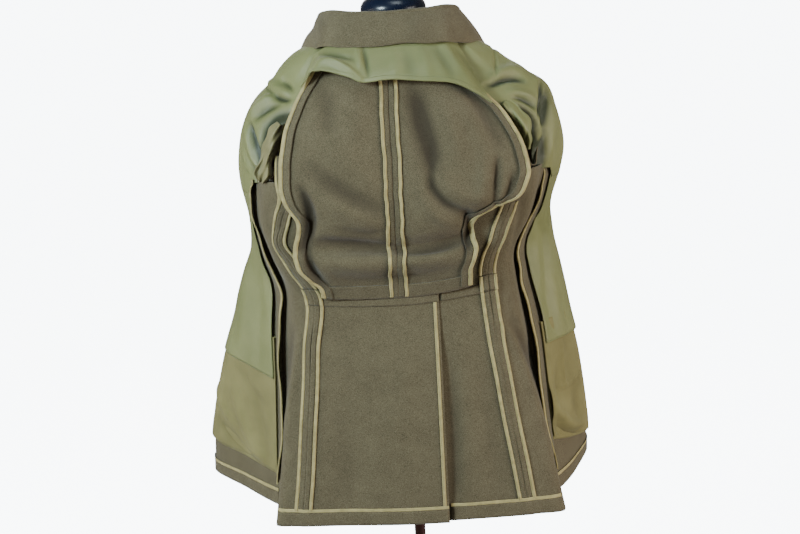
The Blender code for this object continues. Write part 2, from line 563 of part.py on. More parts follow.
def fronts(skin, wool, sateen, twill, tape):
    """Open fronts: wool, facing, half lining, hanging pocket bag, turned-up hem and seam flap."""
    second = LAYER_GAP * 2 + SATEEN
    for side, tag in ((-1, "l"), (1, "r")):
        wall(f"front_{tag}", wool, skin, mirrored(VALLEY + 0.01, EDGE, side), (HEM, NECK), -WOOL, 0.0)
        wall(f"facing_{tag}", wool, skin, mirrored(ROUND, EDGE, side), (HEM + 0.02, NECK),
             LAYER_GAP, LAYER_GAP + WOOL)
        inner = mirrored(ROOT, ROUND - 0.02, side)
        wall(f"front_lining_{tag}", sateen, skin, inner, (LINING_HEM, 11.5), second, second + SATEEN)
        wall(f"pocket_bag_{tag}", twill, skin, mirrored(ROOT, WIDE if side > 0 else 6.5, side),
             (BAG_BOTTOM, 3), LAYER_GAP, LAYER_GAP + SATEEN)
        wall(f"hem_front_{tag}", wool, skin, inner, (HEM + 0.02, HEM_TAPE_LOW - 0.004), LAYER_GAP,
             LAYER_GAP + FOLDED_WOOL)
        wall(f"hem_tape_front_{tag}", tape, skin, inner, (HEM_TAPE_LOW, HEM_TAPE_TOP), LAYER_GAP,
             LAYER_GAP + FOLDED_WOOL)


def flaps(wool, tape):
    """Side-front seam allowances: free bound flaps that stand off towards the back."""
    table = np.array(FLAP_ROWS, dtype=float)
    for side, tag in ((-1, "l"), (1, "r")):

        def flap_point(share, row, side=side):
            edge = Flap(*through(table, row))
            x, y = (edge.left_x, edge.left_y) if side < 0 else (edge.right_x, edge.right_y)
            free = np.array([x * side, y, edge.z]) * CM
            level = level_at(body_point, ROOT * side, edge.z * CM, ARM_MIDDLE)
            root = body_point(ROOT * side, level)
            return root + (free - root) * share

        skin = Skin(flap_point, [0.0, 0.12, 0.45, 0.78, 1.0], [0, 1, 2, 3, 4, 5, 6, 7], flip=side < 0)
        wall(f"side_flap_{tag}", wool, skin, (0.12, 0.77), (0, 7), -FOLDED_WOOL / 2, FOLDED_WOOL / 2)
        wall(f"side_flap_tape_{tag}", tape, skin, (0.78, 1.0), (0, 7), -0.0014, 0.0014)


def shoulders(skin, sateen):
    """Lining over the shoulders, round the armholes, which stay open."""
    second = LAYER_GAP * 2 + SATEEN
    for side, tag in ((-1, "l"), (1, "r")):
        armhole = (TURN, VALLEY - 0.01) if side < 0 else (1.7, 2.6)
        wall(f"armhole_lining_{tag}", sateen, skin, mirrored(0.75, ROOT - 0.02, side),
             (UNDERARM + 0.01, SHOULDER_TIP), second, second + SATEEN,
             (*mirrored(*armhole, side), UNDERARM + 0.01, ARM_TOP))
        wall(f"shoulder_lining_{tag}", sateen, skin, mirrored(0.75, ROOT - 0.02, side),
             (SHOULDER_TIP + 0.01, 11.5), second, second + SATEEN)


def sleeves(wool):
    """Sleeves left inside: flattened open tubes from the armholes down between tunic and form."""
    table = np.array(SLEEVE_RINGS, dtype=float)
    for side, tag in ((-1, "l"), (1, "r")):

        def ring_point(turn, row, side=side):
            ring = Ring(*through(table, row))
            angle = 2 * math.pi * turn
            c, s = math.cos(angle), math.sin(angle)
            return np.array([(ring.x + ring.across_x * c + ring.top_x * s) * side,
                             ring.y + ring.across_y * c, ring.z + ring.top_z * s]) * CM

        tube(f"sleeve_{tag}", wool, ring_point, 12, [0, 0.5, 1, 1.5, 2, 3, 4, 5, 7], 0.0024)


def collar(wool):
    """Collar folded over: stand inside, fall outside, one strip round the neck."""
    table = np.array(COLLAR_ROWS, dtype=float)
    centre = CENTRE_X + 0.004

    def collar_point(place, turn):
        side = -1 if place < 0 else 1
        row = Neckline(*through(table, abs(place)))
        neck = body_point(row.station * side, NECK) + np.array([0.0, 0.0, 0.004])
        fold = np.array([centre + row.fold_x * CM * side, row.fold_y * CM, row.fold_z * CM])
        fall = np.array([centre + row.fall_x * CM * side, row.fall_y * CM, row.fall_z * CM])
        out = (fall - fold) * np.array([1.0, 1.0, 0.0])
        out /= np.linalg.norm(out)
        if turn <= 1:
            stand = neck + (fold - neck) * turn
            return stand - out * 0.002 * math.sin(math.pi * turn)
        if turn <= 2:
            angle = math.pi * (turn - 1)
            radius = 0.0035
            return fold + out * radius * (1 - math.cos(angle)) + np.array([0, 0, radius * math.sin(angle)])
        start = fold + out * 0.007
        share = turn - 2
        return start + (fall - start) * share + out * 0.004 * math.sin(math.pi * share)

    places = [-5, -4.5, -4, -3.5, -3, -2.5, -2, -1, 0, 1, 2, 2.5, 3, 3.5, 4, 4.5, 5]
    turns = [0.0, 0.5, 1.0, 1.33, 1.67, 2.0, 2.5, 3.0]
    skin = Skin(collar_point, places, turns)
    wall("collar", wool, skin, (-5, 5), (0, 3), -0.0013, 0.0013)


def yoke_flap(sateen):
    """Loose half-lining flap across the shoulder blades, hanging below the collar."""
    table = np.array(YOKE_ROWS, dtype=float)

    def yoke_point(place, drop):
        row = Yoke(*through(table, place))
        top = np.array([row.x, row.top_y, row.top_z])
        low = np.array([row.low_x, row.low_y, row.low_z])
        billow = np.array([0.0, -0.8, 0.0]) * math.sin(math.pi * drop)
        return (top + (low - top) * drop + billow) * CM

    skin = Skin(yoke_point, [0.5 * k for k in range(17)], [0, 0.25, 0.5, 0.75, 1.0], flip=True)
    wall("yoke_lining", sateen, skin, (0, 8), (0.0, 1), -SATEEN / 2, SATEEN / 2)


def lapels(skin, wool):
    """Lapels rolled back over the facings from the front edge."""
    for side, tag in ((-1, "l"), (1, "r")):

        def lapel_point(share, level, side=side):
            width = 0.12 + 0.63 * ease((level - 6) / 5)
            return skin.at((EDGE - width * share) * side, level, 0.0046 + 0.004 * math.sin(math.pi * share))

        base = Skin(lapel_point, [0.0, 0.33, 0.67, 1.0], [6, 7, 8, 9, 9.9], flip=side > 0)
        wall(f"lapel_{tag}", wool, base, (0, 1), (6, 9.9), -0.0009, 0.0011)


def buttons(skin, brass):
    """Four plain domed buttons on the right side of the -X front, which faces the form."""
    for number, level in enumerate((3.2, 4.1, 5.4, 6.7)):
        place = skin.at(-(EDGE - 0.18), level, -WOOL - 0.0025)
        inward = skin.at(-(EDGE - 0.18), level, -WOOL - 0.0125) - place
        inward /= np.linalg.norm(inward)
        name = f"button_{number + 1}"
        made = turned(name, brass, [(0.0, 0.007), (0.006, 0.0058), (0.0105, 0.0028), (0.0112, 0.0010),
                                    (0.0100, 0.0), (0.0, 0.0)], 14)
        flat = math.hypot(inward[0], inward[1])
        made.rotation_euler = (0.0, math.atan2(flat, inward[2]), math.atan2(inward[1], inward[0]))
        made.location = tuple(place)


clear_scene()
TUNIC = bpy.data.collections.new("military_dress_tunic")
bpy.context.scene.collection.children.link(TUNIC)
wool_olive = finish("wool_serge", (0.125, 0.110, 0.072), 0.95)
sateen_sage = finish("sateen_lining", (0.300, 0.345, 0.190), 0.45)
twill_khaki = finish("pocket_twill", (0.335, 0.300, 0.130), 0.80)
tape_khaki = finish("binding_tape", (0.430, 0.375, 0.180), 0.70)
brass_dull = finish("button_brass", (0.420, 0.300, 0.110), 0.40, 1.0)
form_and_stand()
BODY = body_skin()
BACK = Skin(back_point, [-1.0, -0.965, -0.9, -0.7, -0.4, -0.09, 0.0, 0.09, 0.4, 0.7, 0.9, 0.965, 1.0],
            [0, 0.5, 1, 1.5, 2, 2.5, 3, 3.5, 4, 5, 6, 7, 8, 9, 10, 11])
upper_back(BACK, wool_olive, tape_khaki)
skirts(BODY, wool_olive, tape_khaki)
sides(BODY, wool_olive, tape_khaki)
waist_seam(BODY, BACK, wool_olive)
fronts(BODY, wool_olive, sateen_sage, twill_khaki, tape_khaki)
flaps(wool_olive, tape_khaki)
shoulders(BODY, sateen_sage)
sleeves(wool_olive)
collar(wool_olive)
yoke_flap(sateen_sage)
lapels(BODY, wool_olive)
buttons(BODY, brass_dull)
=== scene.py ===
import json
import math
from collections import namedtuple

import bpy
import numpy as np
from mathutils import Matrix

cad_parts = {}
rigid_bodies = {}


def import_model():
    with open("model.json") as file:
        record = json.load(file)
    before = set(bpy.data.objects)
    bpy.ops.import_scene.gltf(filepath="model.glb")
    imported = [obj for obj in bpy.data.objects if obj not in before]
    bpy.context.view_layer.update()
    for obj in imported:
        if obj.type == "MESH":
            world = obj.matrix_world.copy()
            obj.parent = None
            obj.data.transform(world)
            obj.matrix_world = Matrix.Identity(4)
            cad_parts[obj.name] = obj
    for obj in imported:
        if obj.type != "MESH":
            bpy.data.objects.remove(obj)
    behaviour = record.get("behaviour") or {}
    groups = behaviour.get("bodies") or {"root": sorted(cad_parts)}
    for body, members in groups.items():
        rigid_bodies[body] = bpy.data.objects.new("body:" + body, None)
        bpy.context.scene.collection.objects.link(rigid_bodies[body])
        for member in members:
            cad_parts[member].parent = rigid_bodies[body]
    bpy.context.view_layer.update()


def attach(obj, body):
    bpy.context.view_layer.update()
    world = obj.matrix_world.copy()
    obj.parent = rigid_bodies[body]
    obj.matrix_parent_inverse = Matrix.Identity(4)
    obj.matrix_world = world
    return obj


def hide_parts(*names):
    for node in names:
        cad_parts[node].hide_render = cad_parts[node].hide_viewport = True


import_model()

# ---- Dress form ----
# A hollow moulded torso under dark jersey, a glossy turned cap on its neck, and the pole and round
# foot that carry it.  The torso's rings are extruded one after the other from its base plate.


class Shade:
    """A shader socket that takes part in plain arithmetic."""

    def __init__(self, recipe, socket):
        self.recipe = recipe
        self.socket = socket

    def maths(self, operation, *operands):
        return self.recipe.node("ShaderNodeMath", {"operation": operation}, dict(enumerate(operands)))

    def __add__(self, other):
        return self.maths("ADD", self, other)

    def __sub__(self, other):
        return self.maths("SUBTRACT", self, other)

    def __rsub__(self, other):
        return self.maths("SUBTRACT", other, self)

    def __mul__(self, other):
        return self.maths("MULTIPLY", self, other)

    def __truediv__(self, other):
        return self.maths("DIVIDE", self, other)

    def __pow__(self, other):
        return self.maths("POWER", self, other)

    def __gt__(self, other):
        return self.maths("GREATER_THAN", self, other)

    def __lt__(self, other):
        return self.maths("LESS_THAN", self, other)

    __radd__ = __add__
    __rmul__ = __mul__

    def sine(self):
        return self.maths("SINE", self)

    def size(self):
        return self.maths("ABSOLUTE", self)

    def part(self):
        return self.maths("FRACT", self)

    def kept(self, low=0.0, high=1.0):
        return self.maths("MAXIMUM", self.maths("MINIMUM", self, high), low)


class Recipe:
    """One node material: a Principled shader and whatever feeds it."""

    def __init__(self, name, **uniform):
        self.material = bpy.data.materials.new(name)
        self.material.use_nodes = True
        self.tree = self.material.node_tree
        self.shader = self.tree.nodes["Principled BSDF"]
        for socket, value in uniform.items():
            self.shader.inputs[socket.replace("_", " ")].default_value = value

    def node(self, kind, settings=None, values=None, output=0):
        made = self.tree.nodes.new(kind)
        for setting, value in (settings or {}).items():
            setattr(made, setting, value)
        for slot, value in (values or {}).items():
            if isinstance(value, Shade):
                self.tree.links.new(value.socket, made.inputs[slot])
            else:
                made.inputs[slot].default_value = value
        return Shade(self, made.outputs[output])

    def place(self):
        return self.node("ShaderNodeTexCoord", output="Object")

    def cloth_place(self):
        """Across and along the cloth, in metres of its own surface."""
        laid = self.node("ShaderNodeUVMap", {"uv_map": "cloth"})
        split = self.tree.nodes.new("ShaderNodeSeparateXYZ")
        self.tree.links.new(laid.socket, split.inputs[0])
        return Shade(self, split.outputs[0]), Shade(self, split.outputs[1])

    def crease_shade(self):
        """How deep in a fold the cloth lies, stored on the sheets that have folds; the materials use it to
        paint shade into the creases.
        """
        return self.node("ShaderNodeAttribute", {"attribute_name": "crease_shade"}, output="Fac")

    def noise(self, where, scale, detail=2.0, roughness=0.5):
        return self.node("ShaderNodeTexNoise", {}, {"Vector": where, "Scale": scale, "Detail": detail,
                                                    "Roughness": roughness})

    def mix(self, share, first, second):
        return self.node("ShaderNodeMix", {"data_type": "RGBA"},
                         {0: share, 6: (*first, 1.0) if isinstance(first, tuple) else first,
                          7: (*second, 1.0) if isinstance(second, tuple) else second}, output=2)

    def colour(self, shade):
        self.tree.links.new(shade.socket, self.shader.inputs["Base Color"])

    def roughness(self, shade):
        self.tree.links.new(shade.socket, self.shader.inputs["Roughness"])

    def bump(self, height, distance, strength=1.0):
        made = self.node("ShaderNodeBump", {}, {"Height": height, "Distance": distance,
                                                "Strength": strength})
        self.tree.links.new(made.socket, self.shader.inputs["Normal"])


def plain_finish(name, base, rough, metallic=0.0, coat=0.0):
    """A hard finish with faint smears in its gloss."""
    recipe = Recipe(name, Metallic=metallic, Coat_Weight=coat, Coat_Roughness=0.05)
    smear = recipe.noise(recipe.place(), 22.0, 4.0)
    recipe.colour(recipe.mix(smear, base, tuple(1.25 * c for c in base)))
    recipe.roughness(smear * 0.14 + rough)
    return recipe.material


def take_up(piece, *nodes, slot):
    """The piece stands for CAD nodes and rides on the object."""
    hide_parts(*nodes)
    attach(piece, "root")


bpy.ops.object.select_all(action="DESELECT")
Ring = namedtuple("Ring", "z half_width half_depth centre_y")
torso_rings = (
    Ring(0.802, 0.1350, 0.0900, 0.000), Ring(0.820, 0.1435, 0.0955, 0.000),
    Ring(0.870, 0.1520, 0.1020, 0.000), Ring(0.920, 0.1535, 0.1035, 0.000),
    Ring(0.970, 0.1460, 0.0990, 0.001), Ring(1.010, 0.1375, 0.0935, 0.002),
    Ring(1.055, 0.1280, 0.0880, 0.003), Ring(1.100, 0.1215, 0.0855, 0.004),
    Ring(1.140, 0.1290, 0.0910, 0.005), Ring(1.180, 0.1355, 0.0975, 0.006),
    Ring(1.220, 0.1430, 0.1060, 0.006), Ring(1.260, 0.1495, 0.1095, 0.006),
    Ring(1.300, 0.1540, 0.1080, 0.005), Ring(1.340, 0.1580, 0.1040, 0.003),
    Ring(1.375, 0.1610, 0.0920, 0.001), Ring(1.400, 0.1540, 0.0790, -0.001),
    Ring(1.422, 0.1340, 0.0680, -0.002), Ring(1.440, 0.1000, 0.0600, -0.002),
    Ring(1.456, 0.0730, 0.0560, -0.001), Ring(1.475, 0.0590, 0.0540, 0.000),
    Ring(1.500, 0.0525, 0.0520, 0.000), Ring(1.529, 0.0500, 0.0500, 0.000),
)
first = torso_rings[0]
bpy.ops.mesh.primitive_circle_add(vertices=48, radius=1.0, fill_type="NGON", location=(0.0, 0.0, first.z))
torso = bpy.context.object
torso.name = "torso_jersey"
bpy.ops.transform.resize(value=(first.half_width, first.half_depth, 1.0))
bpy.ops.object.transform_apply(location=True, rotation=True, scale=True)
bpy.ops.object.mode_set(mode="EDIT")
bpy.ops.mesh.select_all(action="SELECT")
for below, ring in zip(torso_rings, torso_rings[1:]):
    rise = (0.0, ring.centre_y - below.centre_y, ring.z - below.z)
    bpy.ops.mesh.extrude_region_move(TRANSFORM_OT_translate={"value": rise})
    bpy.ops.transform.resize(value=(ring.half_width / below.half_width,
                                    ring.half_depth / below.half_depth, 1.0))
bpy.ops.mesh.select_all(action="SELECT")
bpy.ops.mesh.normals_make_consistent(inside=False)
bpy.ops.object.mode_set(mode="OBJECT")
bpy.ops.object.shade_smooth_by_angle(angle=math.radians(50))
jersey = Recipe("dark_jersey", Roughness=0.85, Sheen_Weight=0.25, Sheen_Roughness=0.5)
knit = jersey.noise(jersey.place(), 900.0, 2.0)
jersey.colour(jersey.mix(knit, (0.006, 0.009, 0.022), (0.020, 0.026, 0.050)))
jersey.bump(knit, 0.0004)
torso.data.materials.append(jersey.material)
take_up(torso, "form_torso", slot="form")

cap_gloss = plain_finish("neck_cap_gloss", (0.001, 0.006, 0.020), 0.20)
bpy.ops.mesh.primitive_uv_sphere_add(segments=64, ring_count=40, radius=0.053, location=(0.0, 0.0, 1.5405))
neck_cap = bpy.context.object
neck_cap.name = "cap_dome"
bpy.ops.object.mode_set(mode="EDIT")
bpy.ops.mesh.select_all(action="SELECT")
bpy.ops.transform.resize(value=(1.0, 1.0, 0.56))
bpy.ops.mesh.bisect(plane_co=(0.0, 0.0, 1.5320), plane_no=(0.0, 0.0, -1.0), clear_outer=True,
                    use_fill=True)
bpy.ops.object.mode_set(mode="OBJECT")
bpy.ops.object.transform_apply(location=True, rotation=True, scale=True)
rim = neck_cap.modifiers.new("Rim", "BEVEL")
rim.width = 0.0022
rim.segments = 4
rim.limit_method = "ANGLE"
rim.angle_limit = math.radians(28)
bpy.ops.object.shade_smooth_by_angle(angle=math.radians(40))
neck_cap.data.materials.append(cap_gloss)
take_up(neck_cap, "neck_cap", slot="cap")

stand_enamel = plain_finish("stand_enamel", (0.045, 0.014, 0.014), 0.28)
bpy.ops.mesh.primitive_cylinder_add(vertices=48, radius=0.0095, depth=0.7775, location=(0.0, 0.0, 0.41105))
pole = bpy.context.object
pole.name = "pole_tube"
bpy.ops.object.transform_apply(location=True, rotation=True, scale=True)
bpy.ops.object.shade_smooth_by_angle(angle=math.radians(40))
pole.data.materials.append(stand_enamel)
take_up(pole, "stand_pole", slot="stand")

bpy.ops.mesh.primitive_cylinder_add(vertices=96, radius=0.175, depth=0.013, location=(0.0, 0.0, 0.0065))
foot = bpy.context.object
foot.name = "foot_disc"
bpy.ops.object.mode_set(mode="EDIT")
bpy.ops.mesh.select_all(action="DESELECT")
bpy.ops.object.mode_set(mode="OBJECT")
for face in foot.data.polygons:
    face.select = face.normal.z > 0.9
bpy.ops.object.mode_set(mode="EDIT")
bpy.ops.mesh.select_mode(type="FACE")
for shrink, rise in ((0.965, 0.0050), (0.88, 0.0020), (0.13, 0.0018)):
    bpy.ops.mesh.extrude_region_move(TRANSFORM_OT_translate={"value": (0.0, 0.0, rise)})
    bpy.ops.transform.resize(value=(shrink, shrink, 1.0))
bpy.ops.object.mode_set(mode="OBJECT")
bpy.ops.object.transform_apply(location=True, rotation=True, scale=True)
edge_round = foot.modifiers.new("Rounded", "BEVEL")
edge_round.width = 0.0025
edge_round.segments = 3
edge_round.limit_method = "ANGLE"
bpy.ops.object.shade_smooth_by_angle(angle=math.radians(40))
foot.data.materials.append(stand_enamel)
take_up(foot, "stand_base", slot="stand")

# ---- Back skirts ----
# Two panels below the waist seam; the left one laps over the right one at the centre vent.  The
# body's section tables and the way a length of cloth is laid on them are set out here first.
CM = 0.01
CENTRE_X = -1.5        # centimetres, as are the tables
VENT_X = 4.85
HEM, WAIST, UNDERARM, ARM_MIDDLE, NECK = 0, 4, 7, 8, 12
VENT, SEAM, TURN, VALLEY, ROOT, MIDDLE, ROUND, EDGE = 0.5, 1, 2, 3, 4, 5, 7, 8


def paired(first, second):
    """Two numbers or arrays, brought to one shape."""
    return np.broadcast_arrays(np.asarray(first, dtype=float), np.asarray(second, dtype=float))


def at_right_angles(along, up):
    """The unit direction square to both, which is outwards on a cloth."""
    out = np.cross(along, up)
    return out / np.linalg.norm(out, axis=-1, keepdims=True)


Level = namedtuple("Level", (
    "centre_z back_z side_z front_z centre_y seam_x seam_y turn_x turn_y valley_x valley_y root_x root_y "
    "mid_x mid_y wide_x wide_y round_x round_y edge_x edge_y"))
LEVELS_R = (
    Level(71.2, 71.0, 70.6, 72.8, -14.0, 18.3, -12.9, 24.4, -10.6, 22.6, -3.8, 24.2, -2.0,
          28.0, 4.0, 31.0, 11.4, 30.0, 16.5, 25.2, 20.6),
    Level(80.0, 80.0, 80.0, 80.0, -13.7, 16.9, -12.7, 22.5, -10.3, 21.9, -3.6, 23.6, -2.2,
          27.6, 4.0, 30.9, 11.0, 29.8, 16.2, 24.9, 20.2),
    Level(92.0, 92.0, 92.0, 92.0, -12.9, 15.2, -11.9, 19.9, -9.0, 20.8, -3.4, 22.7, -2.1,
          26.6, 3.8, 29.4, 9.6, 28.6, 15.0, 23.6, 19.2),
    Level(101.0, 101.0, 101.0, 101.0, -12.0, 13.9, -11.1, 18.4, -8.2, 19.6, -3.2, 21.9, -1.9,
          25.2, 3.2, 27.4, 7.8, 26.9, 13.2, 21.8, 18.2),
    Level(108.8, 110.2, 110.0, 109.2, -11.2, 12.9, -10.2, 17.2, -7.6, 18.1, -3.0, 20.1, -1.6,
          23.6, 2.6, 25.9, 6.4, 25.5, 11.8, 20.0, 17.2),
    Level(115.0, 115.0, 115.0, 115.0, -11.6, 13.4, -10.6, 17.3, -7.8, 17.9, -3.2, 20.0, -1.4,
          23.0, 1.8, 24.8, 4.4, 24.5, 10.6, 18.0, 16.6),
    Level(121.0, 121.0, 121.0, 121.0, -12.4, 15.8, -11.4, 20.0, -8.6, 20.7, -4.2, 22.6, -2.0,
          23.8, 0.3, 24.4, 2.4, 23.8, 9.4, 16.0, 16.0),
    Level(126.5, 126.5, 126.5, 126.5, -12.9, 17.6, -11.6, 21.2, -9.0, 22.4, -5.4, 24.0, -3.0,
          25.2, -0.4, 25.9, 2.0, 23.6, 8.8, 14.0, 15.4),
    Level(131.5, 131.5, 131.5, 131.0, -12.8, 18.0, -11.2, 20.8, -8.8, 23.4, -5.8, 24.8, -3.4,
          26.0, -1.0, 26.4, 1.6, 23.2, 8.2, 12.4, 14.6),
    Level(137.5, 137.5, 137.6, 136.5, -12.4, 17.4, -10.2, 20.2, -8.0, 22.8, -5.6, 24.2, -3.6,
          25.0, -1.4, 25.2, 0.9, 21.6, 7.0, 10.4, 13.2),
    Level(141.8, 141.8, 141.8, 141.0, -11.6, 15.0, -8.8, 17.8, -7.0, 20.2, -4.9, 21.8, -3.3,
          22.8, -1.5, 23.2, 0.5, 19.0, 5.6, 9.0, 11.6),
    Level(145.3, 145.3, 145.1, 144.0, -10.4, 10.4, -7.4, 12.6, -5.9, 14.4, -4.0, 15.6, -2.6,
          16.4, -1.2, 16.8, 0.3, 14.2, 4.4, 7.8, 10.0),
    Level(148.4, 148.4, 147.4, 146.4, -9.0, 5.6, -6.4, 6.9, -5.2, 8.1, -3.8, 8.8, -2.4,
          9.2, -1.0, 9.4, 0.3, 8.7, 3.8, 6.3, 8.2),
)
LEVELS_L = (
    Level(71.2, 71.0, 70.6, 71.9, -14.0, 19.4, -12.9, 24.0, -10.6, 22.4, -4.2, 24.0, -2.4,
          30.0, 4.4, 36.2, 11.6, 36.0, 17.4, 31.6, 22.6),
    Level(80.0, 80.0, 80.0, 80.0, -13.7, 18.4, -12.7, 22.5, -10.3, 21.8, -4.0, 23.6, -2.4,
          29.6, 4.4, 35.6, 11.2, 35.3, 17.0, 30.8, 22.0),
    Level(92.0, 92.0, 92.0, 92.0, -12.9, 17.0, -12.0, 20.6, -9.6, 21.6, -3.8, 22.9, -2.4,
          28.0, 4.0, 32.8, 10.0, 32.6, 15.6, 28.0, 20.6),
    Level(101.0, 101.0, 101.0, 101.0, -12.0, 16.1, -11.2, 19.3, -8.8, 20.9, -3.8, 22.6, -2.5,
          26.6, 3.0, 30.0, 8.4, 29.7, 13.8, 25.0, 19.2),
    Level(108.8, 109.2, 109.2, 109.2, -11.2, 15.3, -10.2, 18.8, -8.2, 20.3, -4.0, 22.1, -2.6,
          25.2, 2.2, 27.6, 6.4, 27.1, 12.0, 22.0, 18.0),
    Level(115.0, 115.0, 115.0, 115.0, -11.6, 18.2, -10.6, 20.9, -8.6, 21.8, -4.8, 23.6, -2.8,
          25.0, 0.8, 25.9, 4.4, 25.3, 10.6, 19.2, 17.0),
    Level(121.0, 121.0, 121.0, 121.0, -12.4, 19.4, -11.2, 22.4, -9.2, 23.4, -5.6, 24.6, -3.2,
          25.2, -0.2, 25.4, 2.4, 24.3, 9.4, 16.4, 16.2),
    Level(126.5, 126.5, 126.5, 126.5, -12.9, 18.9, -11.5, 22.0, -9.4, 23.3, -6.2, 24.6, -3.6,
          25.8, -0.8, 26.2, 1.8, 23.9, 8.6, 14.2, 15.4),
    Level(131.5, 131.5, 131.5, 131.0, -12.8, 18.8, -11.2, 20.8, -9.0, 22.8, -6.2, 24.4, -3.8,
          25.7, -1.2, 26.2, 1.4, 23.1, 8.0, 12.8, 14.6),
    Level(137.5, 137.5, 137.6, 136.5, -12.4, 17.8, -10.2, 20.2, -8.0, 22.2, -5.8, 23.6, -3.8,
          24.5, -1.6, 24.9, 0.8, 21.3, 6.8, 11.6, 13.2),
    Level(141.8, 141.8, 142.0, 141.0, -11.6, 15.6, -8.8, 17.8, -7.0, 19.8, -5.0, 21.0, -3.4,
          21.8, -1.6, 22.2, 0.4, 18.8, 5.4, 10.8, 11.6),
    Level(145.3, 145.3, 145.4, 144.0, -10.4, 12.4, -7.4, 14.2, -5.9, 15.8, -4.0, 16.8, -2.6,
          17.4, -1.2, 17.6, 0.3, 15.4, 4.4, 9.9, 10.0),
    Level(148.4, 148.4, 147.4, 146.4, -9.0, 7.8, -6.4, 9.2, -5.2, 10.4, -3.8, 11.1, -2.4,
          11.5, -1.0, 11.7, 0.3, 10.9, 3.8, 8.4, 8.2),
)


def smooth(value):
    held = np.clip(value, 0.0, 1.0)
    return held * held * (3 - 2 * held)


def blend_rows(before, here, after, beyond, part):
    """Catmull-Rom between here and after."""
    ramp = (after - before) / 2
    fall = (beyond - here) / 2
    cubic = 2 * here - 2 * after + ramp + fall
    square = 3 * after - 3 * here - 2 * ramp - fall
    return ((cubic * part + square) * part + ramp) * part + here


def through(table, place):
    """Rows of a table read smoothly at row numbers that need not be whole."""
    table = np.asarray(table, dtype=float)
    long = np.vstack([2 * table[0] - table[1], table, 2 * table[-1] - table[-2]])
    place = np.asarray(place, dtype=float)
    row = np.clip(np.floor(place).astype(int), 0, len(table) - 2)
    part = (place - row)[..., None]
    return blend_rows(long[row], long[row + 1], long[row + 2], long[row + 3], part)


def through_points(points, place):
    """The same along points that differ from place to place: points are (..., count, 2)."""
    long = np.concatenate([2 * points[..., :1, :] - points[..., 1:2, :], points,
                           2 * points[..., -1:, :] - points[..., -2:-1, :]], axis=-2)
    row = np.clip(np.floor(place).astype(int), 0, points.shape[-2] - 2)
    near = [np.take_along_axis(long, (row + k)[..., None, None], axis=-2)[..., 0, :] for k in range(4)]
    return blend_rows(*near, (place - row)[..., None])


Sway = namedtuple("Sway", "side station width z reach shift")
SWAYS = (
    Sway(-1, 1.0, 0.55, 118.6, 2.4, 1.15), Sway(-1, 1.0, 0.55, 125.7, 2.0, -0.85),
    Sway(-1, 1.0, 0.40, 112.4, 1.6, 0.35), Sway(1, 1.0, 0.45, 117.4, 1.8, 0.35),
)


def half_body(side, away, level):
    """One side of the tunic's body, at stations counted from the centre back."""
    rows = through(LEVELS_L if side < 0 else LEVELS_R, level)
    outline = rows[..., 5:].reshape(*rows.shape[:-1], EDGE, 2)
    centre = np.stack([np.full(rows.shape[:-1], CENTRE_X * side), rows[..., 4]], axis=-1)
    seam = outline[..., 0, :]
    share = np.clip(away, 0.0, 1.0)
    if side > 0:
        vent = (VENT_X - CENTRE_X) / (seam[..., 0] - centre[..., 0])
        share = np.where(share < VENT, share / VENT * vent, vent + (share - VENT) / (1 - VENT) * (1 - vent))
    behind = centre + (seam - centre) * np.stack([share, share * share], axis=-1)
    beside = through_points(outline[..., :3, :], np.clip(away - SEAM, 0.0, 2.0))
    fold = np.clip(away - VALLEY, 0.0, 1.0)[..., None]
    between = outline[..., 2, :] + (outline[..., 3, :] - outline[..., 2, :]) * fold
    front = through_points(outline[..., 3:, :], np.clip(away - ROOT, 0.0, 4.0))
    place = np.select([(away <= SEAM)[..., None], (away <= VALLEY)[..., None], (away <= ROOT)[..., None]],
                      [behind, beside, between], front)
    height = rows[..., 0] + (rows[..., 1] - rows[..., 0]) * np.minimum(away, 1.0) ** 2
    height = height + (rows[..., 2] - rows[..., 1]) * smooth(away - SEAM)
    height = height + (rows[..., 3] - rows[..., 2]) * smooth((away - ROOT) / 2)
    outward = place[..., 0]
    for sway in SWAYS:
        if sway.side == side:
            near = np.exp(-((away - sway.station) / sway.width) ** 2 - ((height - sway.z) / sway.reach) ** 2)
            outward = outward + sway.shift * near
    return np.stack([outward * side, place[..., 1], height], axis=-1)


def body(station, level):
    """The tunic's outward skin in centimetres; a negative station is on the -X side."""
    station, level = paired(station, level)
    left = half_body(-1, np.abs(station), level)
    right = half_body(1, np.abs(station), level)
    return np.where((station < 0)[..., None], left, right)


Fold = namedtuple("Fold", "x0 z0 x1 z1 x2 z2 width height")


def folded(places, folds):
    """How far a list of folds lifts the cloth; each runs through three points of its x and z."""
    flat = places[..., (0, 2)].reshape(-1, 2)
    lift = np.zeros(len(flat))
    for fold in folds:
        start, middle, end = (np.array(fold[k:k + 2]) for k in (0, 2, 4))
        t = np.linspace(0.0, 1.0, 41)[:, None]
        path = start * (1 - t) * (1 - 2 * t) + 4 * middle * t * (1 - t) + end * t * (2 * t - 1)
        reach = 2.6 * fold.width
        near = np.all((flat > path.min(axis=0) - reach) & (flat < path.max(axis=0) + reach), axis=1)
        if not near.any():
            continue
        squared = ((flat[near][:, None, :] - path[None]) ** 2).sum(axis=-1)
        nearest = squared.argmin(axis=1)
        fade = np.sin(np.pi * (0.06 + 0.88 * t[nearest, 0])) ** 0.6
        lift[near] += fold.height * np.exp(-squared.min(axis=1) / fold.width ** 2) * fade
    return lift.reshape(places.shape[:-1])


